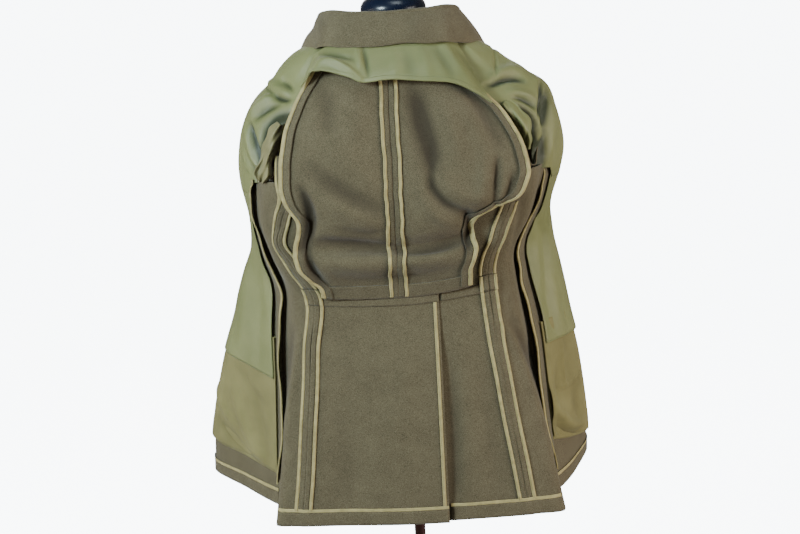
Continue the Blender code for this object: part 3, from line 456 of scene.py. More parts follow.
class Drape:
    """A surface with folds pressed into it, on which cloth is laid."""

    def __init__(self, surface, folds=(), limits=(-99.0, 99.0), lift=None, folds_to=99.0):
        self.surface = surface
        self.folds = folds
        self.folds_to = folds_to
        self.limits = limits
        self.lift = lift

    def at(self, station, level, lift=0.0):
        station, level = paired(station, level)
        step = 0.015
        low = np.maximum(station - step, self.limits[0])
        high = np.minimum(station + step, self.limits[1])
        here = self.surface(station, level)
        along = self.surface(high, level) - self.surface(low, level)
        up = self.surface(station, level + step) - self.surface(station, level - step)
        out = at_right_angles(along, up)
        height = folded(here, self.folds) * smooth((self.folds_to - np.abs(station)) / 0.9)
        if self.lift:
            height = height + self.lift(station, level)
        self.height = np.broadcast_to(height, here.shape[:-1])
        return here + out * (height + lift)[..., None]


def lengths(grid, axis):
    """Distances along a grid of points, averaged over its other direction."""
    steps = np.linalg.norm(np.diff(grid, axis=axis), axis=-1).mean(axis=1 - axis)
    return np.concatenate([[0.0], np.cumsum(steps)])


def sew(name, grid, thickness, material, hole=None, round_edge=0.0, closed=False, depth=None):
    """A length of cloth from a grid of points in centimetres, with its own thickness."""
    columns, rows = grid.shape[:2]
    number = np.arange(columns * rows).reshape(columns, rows)
    if closed:
        number = np.vstack([number, number[:1]])
    corners = np.stack([number[:-1, :-1], number[1:, :-1], number[1:, 1:], number[:-1, 1:]], axis=-1)
    if hole is not None:
        corners = corners[~hole[:-1, :-1]]
    mesh = bpy.data.meshes.new(name)
    mesh.from_pydata((grid.reshape(-1, 3) * CM).tolist(), [], corners.reshape(-1, 4).tolist())
    across, along = np.meshgrid(lengths(grid, 0) * CM, lengths(grid, 1) * CM, indexing="ij")
    laid = mesh.uv_layers.new(name="cloth")
    corner_numbers = np.zeros(len(mesh.loops), dtype=np.int32)
    mesh.loops.foreach_get("vertex_index", corner_numbers)
    both = np.stack([across.reshape(-1)[corner_numbers], along.reshape(-1)[corner_numbers]], axis=-1)
    laid.data.foreach_set("uv", both.reshape(-1))
    # The fold depth is kept per point as the mask for painted shade in the creases.
    if depth is not None:
        crease_shade = mesh.attributes.new("crease_shade", "FLOAT", "POINT")
        crease_shade.data.foreach_set("value", np.clip(-depth, 0.0, 1.0).reshape(-1).astype(np.float32))
    mesh.shade_smooth()
    mesh.materials.append(material)
    made = bpy.data.objects.new(name, mesh)
    bpy.context.scene.collection.objects.link(made)
    body_of_cloth = made.modifiers.new("Thickness", "SOLIDIFY")
    body_of_cloth.thickness = thickness * CM
    body_of_cloth.offset = -1.0
    if round_edge:
        soft = made.modifiers.new("Soft edge", "BEVEL")
        soft.width = round_edge * CM
        soft.segments = 2
        soft.limit_method = "ANGLE"
        soft.angle_limit = math.radians(50)
    return made


def cut(name, drape, across, up, spacing, thickness, material, nodes, lift=0.0, hole=None,
        edge=0.0, profile=None, line=None):
    """Lay cloth on a drape, between two stations or so many centimetres beside a seam line."""

    def laid_out(columns, rows):
        share = np.linspace(0.0, 1.0, columns)[:, None]
        rise = np.linspace(0.0, 1.0, rows)[None, :]
        if line is None:
            stations = across[0] + (across[1] - across[0]) * share + 0 * rise
            low, high = (end(stations) if callable(end) else end for end in up)
            return share, stations, low + (high - low) * rise + 0 * share
        levels = up[0] + (up[1] - up[0]) * rise + 0 * share
        toward = math.copysign(0.05, across[0] + across[1])
        apart = drape.surface(line + toward, levels) - drape.surface(line, levels)
        drift = 0.06 * np.sin(1.9 * levels + 7 * line) + 0.04 * np.sin(4.7 * levels + 3 * line)
        offsets = across[0] + (across[1] - across[0]) * share + drift
        return share, line + offsets * 0.05 / np.linalg.norm(apart, axis=-1), levels

    share, stations, levels = laid_out(9, 25)
    rough = drape.at(stations, levels)
    wide, long = lengths(rough, 0)[-1], lengths(rough, 1)[-1]
    share, stations, levels = laid_out(max(4, int(wide / spacing) + 2), max(4, int(long / spacing) + 2))
    raised = lift + (profile(share) if profile else 0.0)
    if line is not None and across[0] > across[1]:
        stations, levels = stations[::-1], levels[::-1]
        raised = lift + profile(share)[::-1] if profile else lift
    grid = drape.at(stations, levels, raised)
    cut_out = None
    if hole:
        cut_out = (stations > hole[0]) & (stations < hole[1]) & (levels > hole[2]) & (levels < hole[3])
    made = sew(name, grid, thickness, material, cut_out, edge, depth=drape.height)
    if nodes:
        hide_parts(*nodes)
    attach(made, "root")
    return made


wool = Recipe("wool_serge", Roughness=0.92, Sheen_Weight=0.18, Sheen_Roughness=0.45)
wool_where = wool.place()
wool_across, wool_along = wool.cloth_place()
heather = wool.noise(wool_where, 900.0, 2.0, 0.6)
fleck = wool.noise(wool_where, 1500.0, 1.0)
mottle = wool.noise(wool_where, 34.0, 3.0)
twill = ((wool_across + wool_along * 1.35) * 5200.0).sine()
wool_tone = (heather * 3.0 - 1.0 + (fleck - 0.5) * 0.6 + (mottle - 0.5) * 0.45).kept()
wool_mid = wool.mix(wool_tone, (0.056, 0.044, 0.021), (0.160, 0.136, 0.080))
# Painted shade: the wool is darkened towards deep brown in the creases.
wool.colour(wool.mix((wool.crease_shade() * 1.1).kept(0.0, 0.8), wool_mid, (0.030, 0.021, 0.011)))
wool.bump(heather * 0.7 + fleck * 0.3 + twill * 0.12, 0.0006, 0.6)
WOOL = wool.material

tape_mix = Recipe("binding_tape", Roughness=0.72, Sheen_Weight=0.1)
tape_where = tape_mix.place()
tape_across, tape_along = tape_mix.cloth_place()
rib = (tape_along * 7000.0).sine()
tape_wear = tape_mix.noise(tape_where, 90.0, 4.0)
stitch = ((tape_along * 330.0).part() < 0.62) * (((tape_across - 0.0021).size()) < 0.00035)
tape_base = tape_mix.mix((tape_wear * 1.6 - 0.3).kept(), (0.290, 0.242, 0.100), (0.540, 0.462, 0.215))
tape_mix.colour(tape_mix.mix(stitch * 0.55, tape_base, (0.100, 0.085, 0.040)))
tape_mix.bump(rib * 0.25 + tape_wear * 0.3 - stitch * 0.9, 0.0004, 0.8)
TAPE = tape_mix.material

LAP = 0.70             # how far the left skirt stands off the right one at the vent
skirt_folds = (
    Fold(-13.5, 96.0, -9.0, 99.5, -3.0, 98.0, 2.6, 0.25),
    Fold(-14.5, 103.0, -8.0, 104.5, 0.0, 103.5, 1.6, -0.14),
    Fold(-4.0, 84.0, -2.0, 92.0, -1.0, 100.0, 2.4, 0.20),
    Fold(-12.0, 74.0, -11.0, 80.0, -11.5, 90.0, 2.5, -0.22),
    Fold(5.6, 73.0, 6.2, 84.0, 6.2, 98.0, 1.1, -0.45),
    Fold(9.5, 76.0, 9.0, 88.0, 8.0, 103.0, 2.4, 0.22),
    Fold(13.5, 74.0, 12.0, 86.0, 11.0, 98.0, 1.6, -0.16),
)


def skirt_lap(station, level):
    return (0.22 + LAP * smooth((WAIST - 0.2 - level) / 1.5)) * smooth((station + 0.75) / 0.85)


right_skirt = Drape(body, skirt_folds, limits=(-0.99, SEAM))
left_skirt = Drape(body, skirt_folds, limits=(-SEAM, VENT), lift=skirt_lap)
skirt_right = cut("skirt_right", right_skirt, (-0.24, SEAM), (HEM, WAIST + 0.01), 0.45, 0.20, WOOL,
                  ["skirt_r"])
skirt_left = cut("skirt_left", left_skirt, (-SEAM, VENT), (HEM, WAIST + 0.01), 0.45, 0.20, WOOL,
                 ["skirt_l"])


def binding(share):
    """Height across a binding folded over its edge."""
    return 0.13 * (1 - np.abs(2 * share - 1) ** 3.0)


hem_bottom, tape_low, tape_top = 0.004, 0.285, 0.350
hem_left_drape = Drape(body, skirt_folds, limits=(-TURN, VENT), lift=skirt_lap)
hem_right_drape = Drape(body, skirt_folds, limits=(-0.99, TURN))
hem_left = cut("hem_left", hem_left_drape, (-TURN + 0.1, VENT), (hem_bottom, tape_low), 0.5, 0.16, WOOL,
               ["hem_l"], lift=0.20)
hem_left_binding = cut("hem_left_binding", hem_left_drape, (-TURN + 0.1, VENT - 0.004),
                       (tape_low, tape_top), 0.12, 0.05, TAPE, ["hem_tape_l"], lift=0.24)
hem_right = cut("hem_right", hem_right_drape, (VENT + 0.012, TURN - 0.1), (hem_bottom, tape_low), 0.5, 0.16,
                WOOL, ["hem_r"], lift=0.20)
hem_right_binding = cut("hem_right_binding", hem_right_drape, (VENT + 0.012, TURN - 0.1),
                        (tape_low, tape_top), 0.12, 0.05, TAPE, ["hem_tape_r"], lift=0.25)
vent_binding = cut("vent_binding", left_skirt, (0.425, 0.468), (tape_top, WAIST - 0.02), 0.12,
                   0.05, TAPE, ["vent_tape"], lift=0.08, profile=binding)

# ---- Side bodies and gussets ----
# One panel each side from the underarm to the hem, turned round the figure, with the gusset that
# opens behind the pleat; both lie behind the bound allowances of the side-back seam.
side_folds = (
    Fold(14.6, 103.4, 18.3, 95.4, 22.3, 80.0, 0.62, 0.45),
    Fold(16.8, 103.6, 19.7, 96.4, 22.4, 88.0, 0.80, -0.60),
    Fold(-17.9, 103.5, -19.4, 95.5, -21.4, 85.5, 0.60, 0.40),
    Fold(-19.3, 104.0, -20.7, 97.0, -21.9, 89.5, 0.75, -0.45),
    Fold(-21.9, 125.0, -21.7, 121.0, -20.6, 117.0, 0.9, -0.22),
    Fold(-22.6, 122.5, -21.5, 117.5, -19.0, 111.5, 0.8, 0.20),
    Fold(-18.4, 113.8, -17.6, 111.6, -17.2, 109.8, 0.6, -0.22),
    Fold(17.5, 121.5, 16.6, 116.5, 15.0, 111.0, 0.9, 0.26),
    Fold(18.9, 124.0, 18.0, 119.0, 16.2, 113.0, 0.7, -0.28),
    Fold(15.6, 113.5, 15.0, 110.8, 15.4, 108.2, 0.7, -0.20),
    Fold(-19.4, 127.5, -18.9, 124.0, -20.2, 120.5, 0.55, -0.30),
)
seam_drape = Drape(body, side_folds)
for tag, sign in (("left", -1), ("right", 1)):
    short = tag[0]
    side_drape = Drape(body, side_folds, limits=sorted((sign * SEAM, sign * (VALLEY + 0.24))))
    side_panel = cut(f"side_{tag}", side_drape, sorted((sign * SEAM, sign * (VALLEY + 0.22))),
                     (HEM, UNDERARM + 0.4), 0.45, 0.20, WOOL, [f"side_{short}"])
    gusset_drape = Drape(body, side_folds, limits=sorted((sign * 0.5, sign * SEAM)))
    gusset = cut(f"gusset_{tag}", gusset_drape, sorted((sign * 0.66, sign * SEAM)),
                 (WAIST + 0.02, ARM_MIDDLE + 0.35), 0.35, 0.20, WOOL, [f"gusset_{short}"])
    top = ARM_MIDDLE + 0.2 if sign < 0 else UNDERARM - 0.55
    for number, toward in enumerate((-sign, sign)):
        turn_in = 0.015 * toward
        wool_edge = 0.92 * toward
        tape_edge = 1.50 * toward
        face = ("in", "out")[number]
        for part, low, high in (("skirt", tape_top - 0.02, WAIST - 0.16),
                                ("waist", WAIST - 0.15, WAIST + 0.24),
                                ("body", WAIST + 0.26, top)):
            over = 0.40 if part == "waist" else 0.20
            name = f"{part}_allowance_{face}_{tag}"
            cut(name, seam_drape, (turn_in, wool_edge), (low, high), 0.3, 0.14, WOOL, [],
                              lift=over, line=sign * SEAM)
            stands_for = [f"side_seam_{face}_{short}"] if part == "body" else []
            cut(name + "_binding", seam_drape, (wool_edge, tape_edge), (low, high), 0.12,
                              0.06, TAPE, stands_for, lift=over + 0.02, profile=binding,
                              line=sign * SEAM)

# ---- Upper back ----
# Two backs joined at the centre, bloused over the waist in one soft roll, and the bound edges of the
# action pleats, which swing out below the shoulders; the right one is drawn in above the waist.
Back = namedtuple("Back", "z left_x left_z right_x right_z centre_y middle_y edge_y")
BACK_ROWS = (
    Back(109.0, 13.6, 109.4, 10.2, 110.35, -11.5, -11.5, -11.4),
    Back(111.0, 14.2, 111.4, 10.2, 112.2, -12.1, -12.3, -12.2),
    Back(112.8, 15.8, 113.0, 10.4, 113.9, -12.9, -13.3, -13.0),
    Back(114.6, 17.0, 114.7, 11.0, 115.8, -13.7, -14.3, -13.6),
    Back(116.2, 17.6, 116.3, 11.1, 117.4, -14.0, -14.5, -13.6),
    Back(117.8, 17.7, 118.0, 10.8, 119.3, -13.4, -13.5, -13.2),
    Back(119.8, 17.0, 120.0, 10.9, 121.0, -14.3, -14.9, -13.4),
    Back(122.2, 16.7, 122.4, 11.6, 122.2, -14.9, -15.6, -13.8),
    Back(124.3, 17.8, 124.3, 14.4, 123.6, -15.0, -15.9, -14.0),
    Back(126.4, 18.7, 126.2, 18.0, 125.0, -15.0, -15.9, -14.1),
    Back(129.0, 19.0, 129.0, 19.5, 127.6, -14.9, -15.6, -13.9),
    Back(132.0, 18.8, 132.2, 19.6, 130.4, -14.6, -15.2, -13.4),
    Back(135.5, 18.1, 135.5, 18.4, 134.4, -14.1, -14.7, -12.9),
    Back(139.0, 16.8, 139.0, 16.0, 138.2, -13.5, -13.9, -12.1),
    Back(142.8, 14.9, 142.6, 12.6, 141.8, -12.8, -12.9, -11.2),
    Back(146.0, 12.6, 146.0, 10.2, 145.0, -11.6, -11.5, -10.2),
    Back(148.2, 10.8, 147.4, 8.2, 147.2, -10.0, -9.8, -8.9),
)
BACK_TOP = len(BACK_ROWS) - 1


def back(share, level):
    """The upper back's skin; share runs from -1 at the left pleat edge to 1 at the right one."""
    share, level = paired(share, level)
    rows = through(BACK_ROWS, level)
    z, left_x, left_z, right_x, right_z, centre_y, middle_y, edge_y = np.moveaxis(rows, -1, 0)
    away = np.abs(share)
    edge_x = np.where(share < 0, -left_x, right_x)
    edge_z = np.where(share < 0, left_z, right_z)
    bulge = 4 * away * (1 - away) * (middle_y - (centre_y + edge_y) / 2)
    x = CENTRE_X + (edge_x - CENTRE_X) * away
    y = centre_y + (edge_y - centre_y) * away ** 2 + bulge
    return np.stack([x, y, z + (edge_z - z) * away ** 2], axis=-1)


back_folds = (
    Fold(-13.8, 119.3, -8.8, 118.6, -1.0, 117.2, 0.95, -0.75),
    Fold(-1.0, 117.2, 4.0, 117.2, 10.6, 119.2, 0.90, -0.75),
    Fold(-12.0, 116.2, -5.0, 115.0, 5.0, 115.8, 1.30, 0.50),
    Fold(-11.0, 113.2, -4.0, 112.3, 6.5, 113.4, 1.00, -0.35),
    Fold(2.2, 142.5, 3.6, 136.6, 5.0, 130.6, 1.70, -1.00),
    Fold(6.6, 141.0, 8.0, 136.4, 9.0, 131.0, 1.70, 0.60),
    Fold(4.6, 134.0, 4.6, 130.4, 4.6, 127.0, 0.85, -0.45),
    Fold(4.4, 128.2, 6.2, 125.0, 9.8, 122.6, 0.80, -0.80),
    Fold(5.6, 129.6, 8.2, 126.6, 12.0, 125.0, 1.20, 0.60),
    Fold(2.4, 127.4, 4.2, 123.6, 8.0, 121.2, 1.10, 0.50),
    Fold(14.9, 131.2, 14.5, 127.6, 14.1, 124.0, 0.45, -0.80),
    Fold(17.2, 128.6, 16.7, 126.4, 15.8, 124.6, 0.50, -0.55),
    Fold(12.6, 131.5, 12.4, 128.0, 11.7, 124.6, 1.00, 0.50),
    Fold(-13.6, 136.0, -8.7, 132.2, -3.9, 128.3, 1.80, 0.62),
    Fold(-14.2, 131.4, -9.0, 127.2, -3.4, 123.6, 1.70, -0.58),
    Fold(-12.6, 126.4, -8.4, 123.8, -3.4, 121.6, 1.20, 0.34),
    Fold(-15.9, 127.8, -14.7, 122.9, -16.3, 118.0, 0.85, -1.35),
    Fold(-15.4, 117.8, -15.0, 115.0, -13.4, 112.2, 0.75, -0.95),
    Fold(-10.4, 121.2, -7.0, 120.4, -3.6, 120.4, 0.90, -0.45),
    Fold(9.8, 122.6, 10.0, 119.6, 9.6, 116.4, 0.80, -1.10),
    Fold(-12.4, 144.4, -11.0, 140.0, -11.8, 134.0, 1.40, -0.34),
    Fold(-7.0, 143.0, -6.4, 139.0, -7.6, 134.6, 1.80, 0.30),
    Fold(9.8, 143.2, 12.8, 139.0, 15.2, 133.4, 1.20, -0.50),
    Fold(7.4, 142.4, 10.6, 138.0, 12.8, 132.4, 1.20, 0.36),
)
back_drape = Drape(back, back_folds, limits=(-1.0, 1.0))
for tag, sign in (("left", -1), ("right", 1)):
    short = tag[0]
    panel = cut(f"back_{tag}", back_drape, sorted((0.001 * sign, sign)), (0.0, BACK_TOP), 0.30, 0.20, WOOL,
                [f"back_{short}"])
    inward = -sign
    free = Drape(back, back_folds)
    pleat_top = BACK_TOP - 0.6
    allowance = cut(f"pleat_{tag}", free, (0.66 * inward, 1.75 * inward), (0.15, pleat_top), 0.2, 0.14,
                    WOOL, [f"pleat_{short}"], lift=0.30, line=sign, profile=lambda s: 0.10 * s)
    pleat_edge = cut(f"pleat_binding_{tag}", free, (-0.12 * inward, 0.62 * inward), (0.15, pleat_top), 0.10,
                     0.06, TAPE, [f"pleat_tape_{short}"], lift=0.34, profile=binding, line=sign)
    centre = cut(f"centre_allowance_{tag}", free, (0.015 * sign, 0.92 * sign), (0.1, BACK_TOP - 1.2), 0.25,
                 0.14, WOOL, [f"back_seam_{short}"], lift=0.24, line=0.002 * sign)
    centre_edge = cut(f"centre_binding_{tag}", free, (0.92 * sign, 1.48 * sign), (0.1, BACK_TOP - 1.2),
                      0.11, 0.06, TAPE, [], lift=0.26, profile=binding, line=0.002 * sign)

# ---- Waist seam ----
# Its allowances are pressed open: one strip runs up under the roll, the other down on the skirts.
waist_top = cut("waist_strip_upper", Drape(back, back_folds), (-0.97, 0.97), (-0.02, 1.15), 0.3, 0.15, WOOL,
                ["waist_strip_top"], lift=0.23)
waist_left = cut("waist_strip_left", left_skirt, (-SEAM + 0.06, VENT), (WAIST - 0.17, WAIST + 0.004), 0.3,
                 0.15, WOOL, ["waist_strip_low"], lift=0.22)
waist_right = cut("waist_strip_right", right_skirt, (VENT + 0.02, SEAM - 0.06),
                  (WAIST - 0.17, WAIST + 0.004), 0.3, 0.15, WOOL, ["waist_strip_low_r"], lift=0.22)

# ---- Fronts ----
# The open fronts hang away to both sides: wool outside, then the turned-up hem, the hanging pocket
# bags and the half lining on the side that shows, and a facing along each front edge.
sateen = Recipe("sateen_lining", Roughness=0.45, Sheen_Weight=0.08, Sheen_Roughness=0.35,
                Specular_IOR_Level=0.45)
sateen_where = sateen.place()
sateen_across, sateen_along = sateen.cloth_place()
sateen_tone = (sateen.noise(sateen_where, 12.0, 3.0) * 1.5 - 0.25
               + (sateen.noise(sateen_where, 900.0, 1.0) - 0.5) * 0.30).kept()
sateen_mid = sateen.mix(sateen_tone, (0.160, 0.176, 0.070), (0.252, 0.262, 0.118))
# Painted shade: the sateen is darkened towards deep green in the creases.
sateen.colour(sateen.mix((sateen.crease_shade() * 1.8).kept(0.0, 0.92), sateen_mid, (0.018, 0.028, 0.012)))
sateen_rib = ((sateen_across * 0.8 + sateen_along) * 9000.0).sine()
sateen.roughness(sateen.noise(sateen_where, 60.0, 3.0) * 0.20 + 0.34)
sateen.bump(sateen.noise(sateen_where, 70.0, 4.0, 0.6) * 0.8 + sateen_rib * 0.06, 0.0012, 0.55)
SATEEN = sateen.material

pocketing = Recipe("pocket_twill", Roughness=0.8, Sheen_Weight=0.1)
pocket_where = pocketing.place()
pocket_across, pocket_along = pocketing.cloth_place()
pocket_tone = (pocketing.noise(pocket_where, 16.0, 4.0) * 1.8 - 0.4
               + (pocketing.noise(pocket_where, 800.0, 1.0) - 0.5) * 0.35).kept()
pocket_mid = pocketing.mix(pocket_tone, (0.150, 0.133, 0.045), (0.255, 0.230, 0.092))
# Painted shade: the twill is darkened towards deep brown in the creases.
pocketing.colour(pocketing.mix((pocketing.crease_shade() * 0.9).kept(0.0, 0.6), pocket_mid, (0.080, 0.066, 0.022)))
pocket_rib = ((pocket_across + pocket_along) * 6500.0).sine()
pocketing.bump(pocketing.noise(pocket_where, 55.0, 5.0, 0.6) * 0.9 + pocket_rib * 0.08, 0.0016, 0.6)
TWILL = pocketing.material


def edge_steps(*pairs):
    """A level that changes from one station to another, away from the centre back."""
    stations, levels = zip(*pairs)
    return lambda station: np.interp(np.abs(station), stations, levels)


def tucked(station, level):
    """A front's seam edge lies behind the side body, and beside the armhole it hollows."""
    away = np.abs(station)
    hollow = smooth((level - 6.9) / 0.6) * (1 - smooth((away - 6.2) / 0.7))
    return -0.5 * (1 - smooth((away - VALLEY - 0.28) / 0.25)) - 1.1 * hollow


def over_bag(station, level):
    """The lining hangs over the pocket bag and lies flat above it."""
    return 0.86 - 0.46 * smooth((level - 3.0) / 2.0)


bag_folds_left = (
    Fold(-31.0, 89.5, -29.2, 83.0, -26.6, 78.6, 1.0, 0.60),
    Fold(-34.4, 82.6, -31.2, 79.8, -27.3, 77.4, 0.9, -0.60),
    Fold(-34.6, 88.0, -33.0, 84.6, -31.2, 82.6, 0.6, 0.45),
    Fold(-26.6, 90.0, -25.6, 84.0, -25.2, 77.5, 0.8, -0.24),
    Fold(-30.2, 80.6, -28.6, 79.2, -26.0, 78.6, 0.5, 0.26),
    Fold(-28.2, 93.5, -27.4, 90.4, -24.4, 88.0, 0.6, -0.20),
)
bag_folds_right = (
    Fold(23.0, 88.6, 25.2, 82.6, 29.2, 79.4, 0.90, 1.05),
    Fold(23.8, 83.4, 25.4, 80.0, 28.4, 78.6, 0.70, -0.75),
    Fold(25.6, 95.6, 25.4, 91.6, 25.8, 88.4, 0.40, 0.45),
    Fold(24.6, 88.6, 26.8, 88.2, 29.0, 88.8, 0.35, 0.40),
    Fold(24.6, 93.5, 24.0, 88.0, 24.6, 84.0, 0.5, -0.30),
    Fold(27.6, 86.5, 28.0, 83.0, 28.6, 80.6, 0.6, -0.22),
)
lining_folds = (
    Fold(-26.6, 112.0, -27.6, 104.0, -28.6, 97.0, 1.3, 0.26),
    Fold(-24.2, 108.0, -25.0, 101.0, -25.4, 94.0, 1.0, -0.24),
    Fold(-29.4, 104.0, -29.9, 100.0, -30.4, 97.0, 0.8, -0.20),
    Fold(-23.2, 116.0, -23.4, 110.0, -22.8, 104.0, 0.8, 0.24),
    Fold(22.6, 110.0, 23.0, 103.6, 24.4, 97.6, 0.7, -0.42),
    Fold(24.2, 108.0, 24.6, 102.0, 26.1, 96.6, 0.7, 0.36),
    Fold(25.8, 104.0, 26.4, 100.0, 27.3, 97.0, 0.5, -0.26),
    Fold(21.2, 112.5, 22.6, 107.6, 25.2, 104.6, 0.9, 0.34),
    Fold(21.0, 120.0, 22.8, 115.0, 23.0, 110.0, 0.8, -0.34),
)
fronts_by_side = {
    "left": (bag_folds_left, ((ROOT, 0.70), (MIDDLE, 0.80), (6.5, 0.92)),
             ((ROOT, 2.16), (6.0, 2.34), (7.0, 2.36))),
    "right": (bag_folds_right, ((ROOT, 1.06), (MIDDLE, 0.86), (6.0, 0.62)),
              ((ROOT, 2.56), (6.0, 2.46), (7.0, 2.44))),
}
for tag, sign in (("left", -1), ("right", 1)):
    short = tag[0]
    bag_folds, bag_low, lining_low = fronts_by_side[tag]
    whole = Drape(body, limits=sorted((sign * (VALLEY - 0.2), sign * EDGE)), lift=tucked)
    front = cut(f"front_{tag}", whole, sorted((sign * (VALLEY - 0.16), sign * EDGE)), (HEM, NECK), 0.6, 0.20,
                WOOL, [f"front_{short}"])
    plain = Drape(body, limits=sorted((sign * (VALLEY + 0.01), sign * EDGE)))
    facing = cut(f"facing_{tag}", plain, sorted((sign * ROUND, sign * EDGE)), (0.02, NECK), 0.8, 0.18, WOOL,
                 [f"facing_{short}"], lift=0.26)
    inner = sorted((sign * ROOT, sign * (ROUND - 0.02)))
    turn_up = cut(f"hem_front_{tag}", plain, inner, (0.02, tape_low), 0.4, 0.15, WOOL,
                  [f"hem_front_{short}"], lift=0.22)
    turn_up_edge = cut(f"hem_front_binding_{tag}", plain, inner, (tape_low, tape_top), 0.12, 0.05, TAPE,
                       [f"hem_tape_front_{short}"], lift=0.24)
    bag_drape = Drape(body, bag_folds, limits=sorted((sign * (VALLEY + 0.01), sign * EDGE)))
    reach = 6.72 if sign < 0 else 5.85
    bag = cut(f"pocket_bag_{tag}", bag_drape, sorted((sign * (ROOT - 0.1), sign * reach)),
              (edge_steps(*bag_low), 3.0), 0.3, 0.11, TWILL, [f"pocket_bag_{short}"], lift=0.62)
    bag_flat = cut(f"pocket_bag_under_{tag}", plain, sorted((sign * (ROOT - 0.1), sign * (reach + 0.04))),
                   (edge_steps(*[(s, v - 0.06) for s, v in bag_low]), 3.0), 0.4, 0.10, TWILL, [],
                   lift=0.20)
    lining_drape = Drape(body, lining_folds + bag_folds, limits=sorted((sign * (VALLEY + 0.01), sign * EDGE)),
                         lift=over_bag)
    lining = cut(f"front_lining_{tag}", lining_drape, inner, (edge_steps(*lining_low), UNDERARM + 0.05), 0.35,
                 0.10, SATEEN, [f"front_lining_{short}"])

# ---- Side-front seam flaps ----
# The allowances of the side-front seams stand off towards the back as free bound flaps.
Flap = namedtuple("Flap", "z left_x left_y right_x right_y")
FLAP_ROWS = (
    Flap(75.5, 23.9, -4.9, 24.0, -4.7), Flap(85.0, 22.5, -5.1, 22.2, -5.0),
    Flap(95.0, 22.2, -5.1, 21.2, -5.0), Flap(104.0, 21.5, -5.2, 20.0, -5.0),
    Flap(110.0, 20.9, -5.6, 18.7, -5.2), Flap(115.0, 22.7, -6.0, 18.5, -5.4),
    Flap(121.0, 24.4, -6.0, 21.6, -5.4), Flap(126.0, 24.6, -6.0, 23.0, -4.8),
    Flap(128.4, 24.2, -6.4, 23.0, -5.0),
)
root_levels = np.linspace(0.0, ARM_MIDDLE, 161)
for tag, sign in (("left", -1), ("right", 1)):
    short = tag[0]
    root_heights = body(sign * float(ROOT), root_levels)[:, 2]

    def flap(share, row, sign=sign, root_heights=root_heights):
        share, row = paired(share, row)
        edge = through(FLAP_ROWS, row)
        x, y = (edge[..., 1], edge[..., 2]) if sign < 0 else (edge[..., 3], edge[..., 4])
        wave = 0.14 * np.sin(2.9 * row + 1.0) + 0.08 * np.sin(6.3 * row)
        free_edge = np.stack([(x + wave) * sign, y, edge[..., 0]], axis=-1)
        root = body(sign * float(ROOT), np.interp(edge[..., 0], root_heights, root_levels))
        bow = 0.22 * np.sin(np.pi * share) * np.sin(1.7 * row)
        return root + (free_edge - root) * share[..., None] + np.stack([0 * bow, -bow, 0 * bow], axis=-1)

    flap_drape = Drape(flap)
    rows_of_flap = (0.0, 8.0) if sign < 0 else (8.0, 0.0)
    wool_flap = cut(f"side_flap_{tag}", flap_drape, (0.04, 0.80), rows_of_flap, 0.3, 0.16, WOOL,
                    [f"side_flap_{short}"])
    flap_edge = cut(f"side_flap_binding_{tag}", flap_drape, (0.78, 1.0), rows_of_flap, 0.1, 0.22, TAPE,
                    [f"side_flap_tape_{short}"], lift=0.06, edge=0.05)

# ---- Shoulder linings ----
# Sateen over the shoulders, cut away round the armholes, where it dives in towards the sleeves.


def notch_place(notch, station, level):
    """Distances from an armhole's inner corner, 1 on its edge."""
    middle_station, middle_level, half_station, half_level = notch
    u = np.maximum((np.abs(station) - middle_station) / half_station, 0.0)
    v = np.maximum((level - middle_level) / half_level, 0.0)
    return u, v


def rounded_notch(surface, notch):
    """The same surface with the square corner of an armhole in its grid turned to an oval."""

    def rounded(station, level):
        station, level = paired(station, level)
        u, v = notch_place(notch, station, level)
        square = np.maximum(np.maximum(u, v), 1e-6)
        shrink = square / np.maximum(np.hypot(u, v), 1e-6)
        factor = shrink + (1 - shrink) * smooth((square - 1.0) / 1.2)
        nearer = u * (factor - 1) * notch[2]
        lower = v * (factor - 1) * notch[3]
        return surface(station + np.sign(station) * nearer, level + lower)

    return rounded


def shoulder_lift(notch):
    """The lining dives in at the armhole and rises under the collar."""

    def lift(station, level):
        u, v = notch_place(notch, station, level)
        square = np.maximum(u, v)
        dive = -1.4 * np.exp(-(np.maximum(square - 1.0, 0.0) / 0.16) ** 2)
        beside = smooth((np.abs(station) - 0.9) / 1.0)
        return dive + 0.5 * smooth((level - 10.6) / 1.2) + 1.5 * beside * smooth((level - 10.2) / 1.3)

    return lift


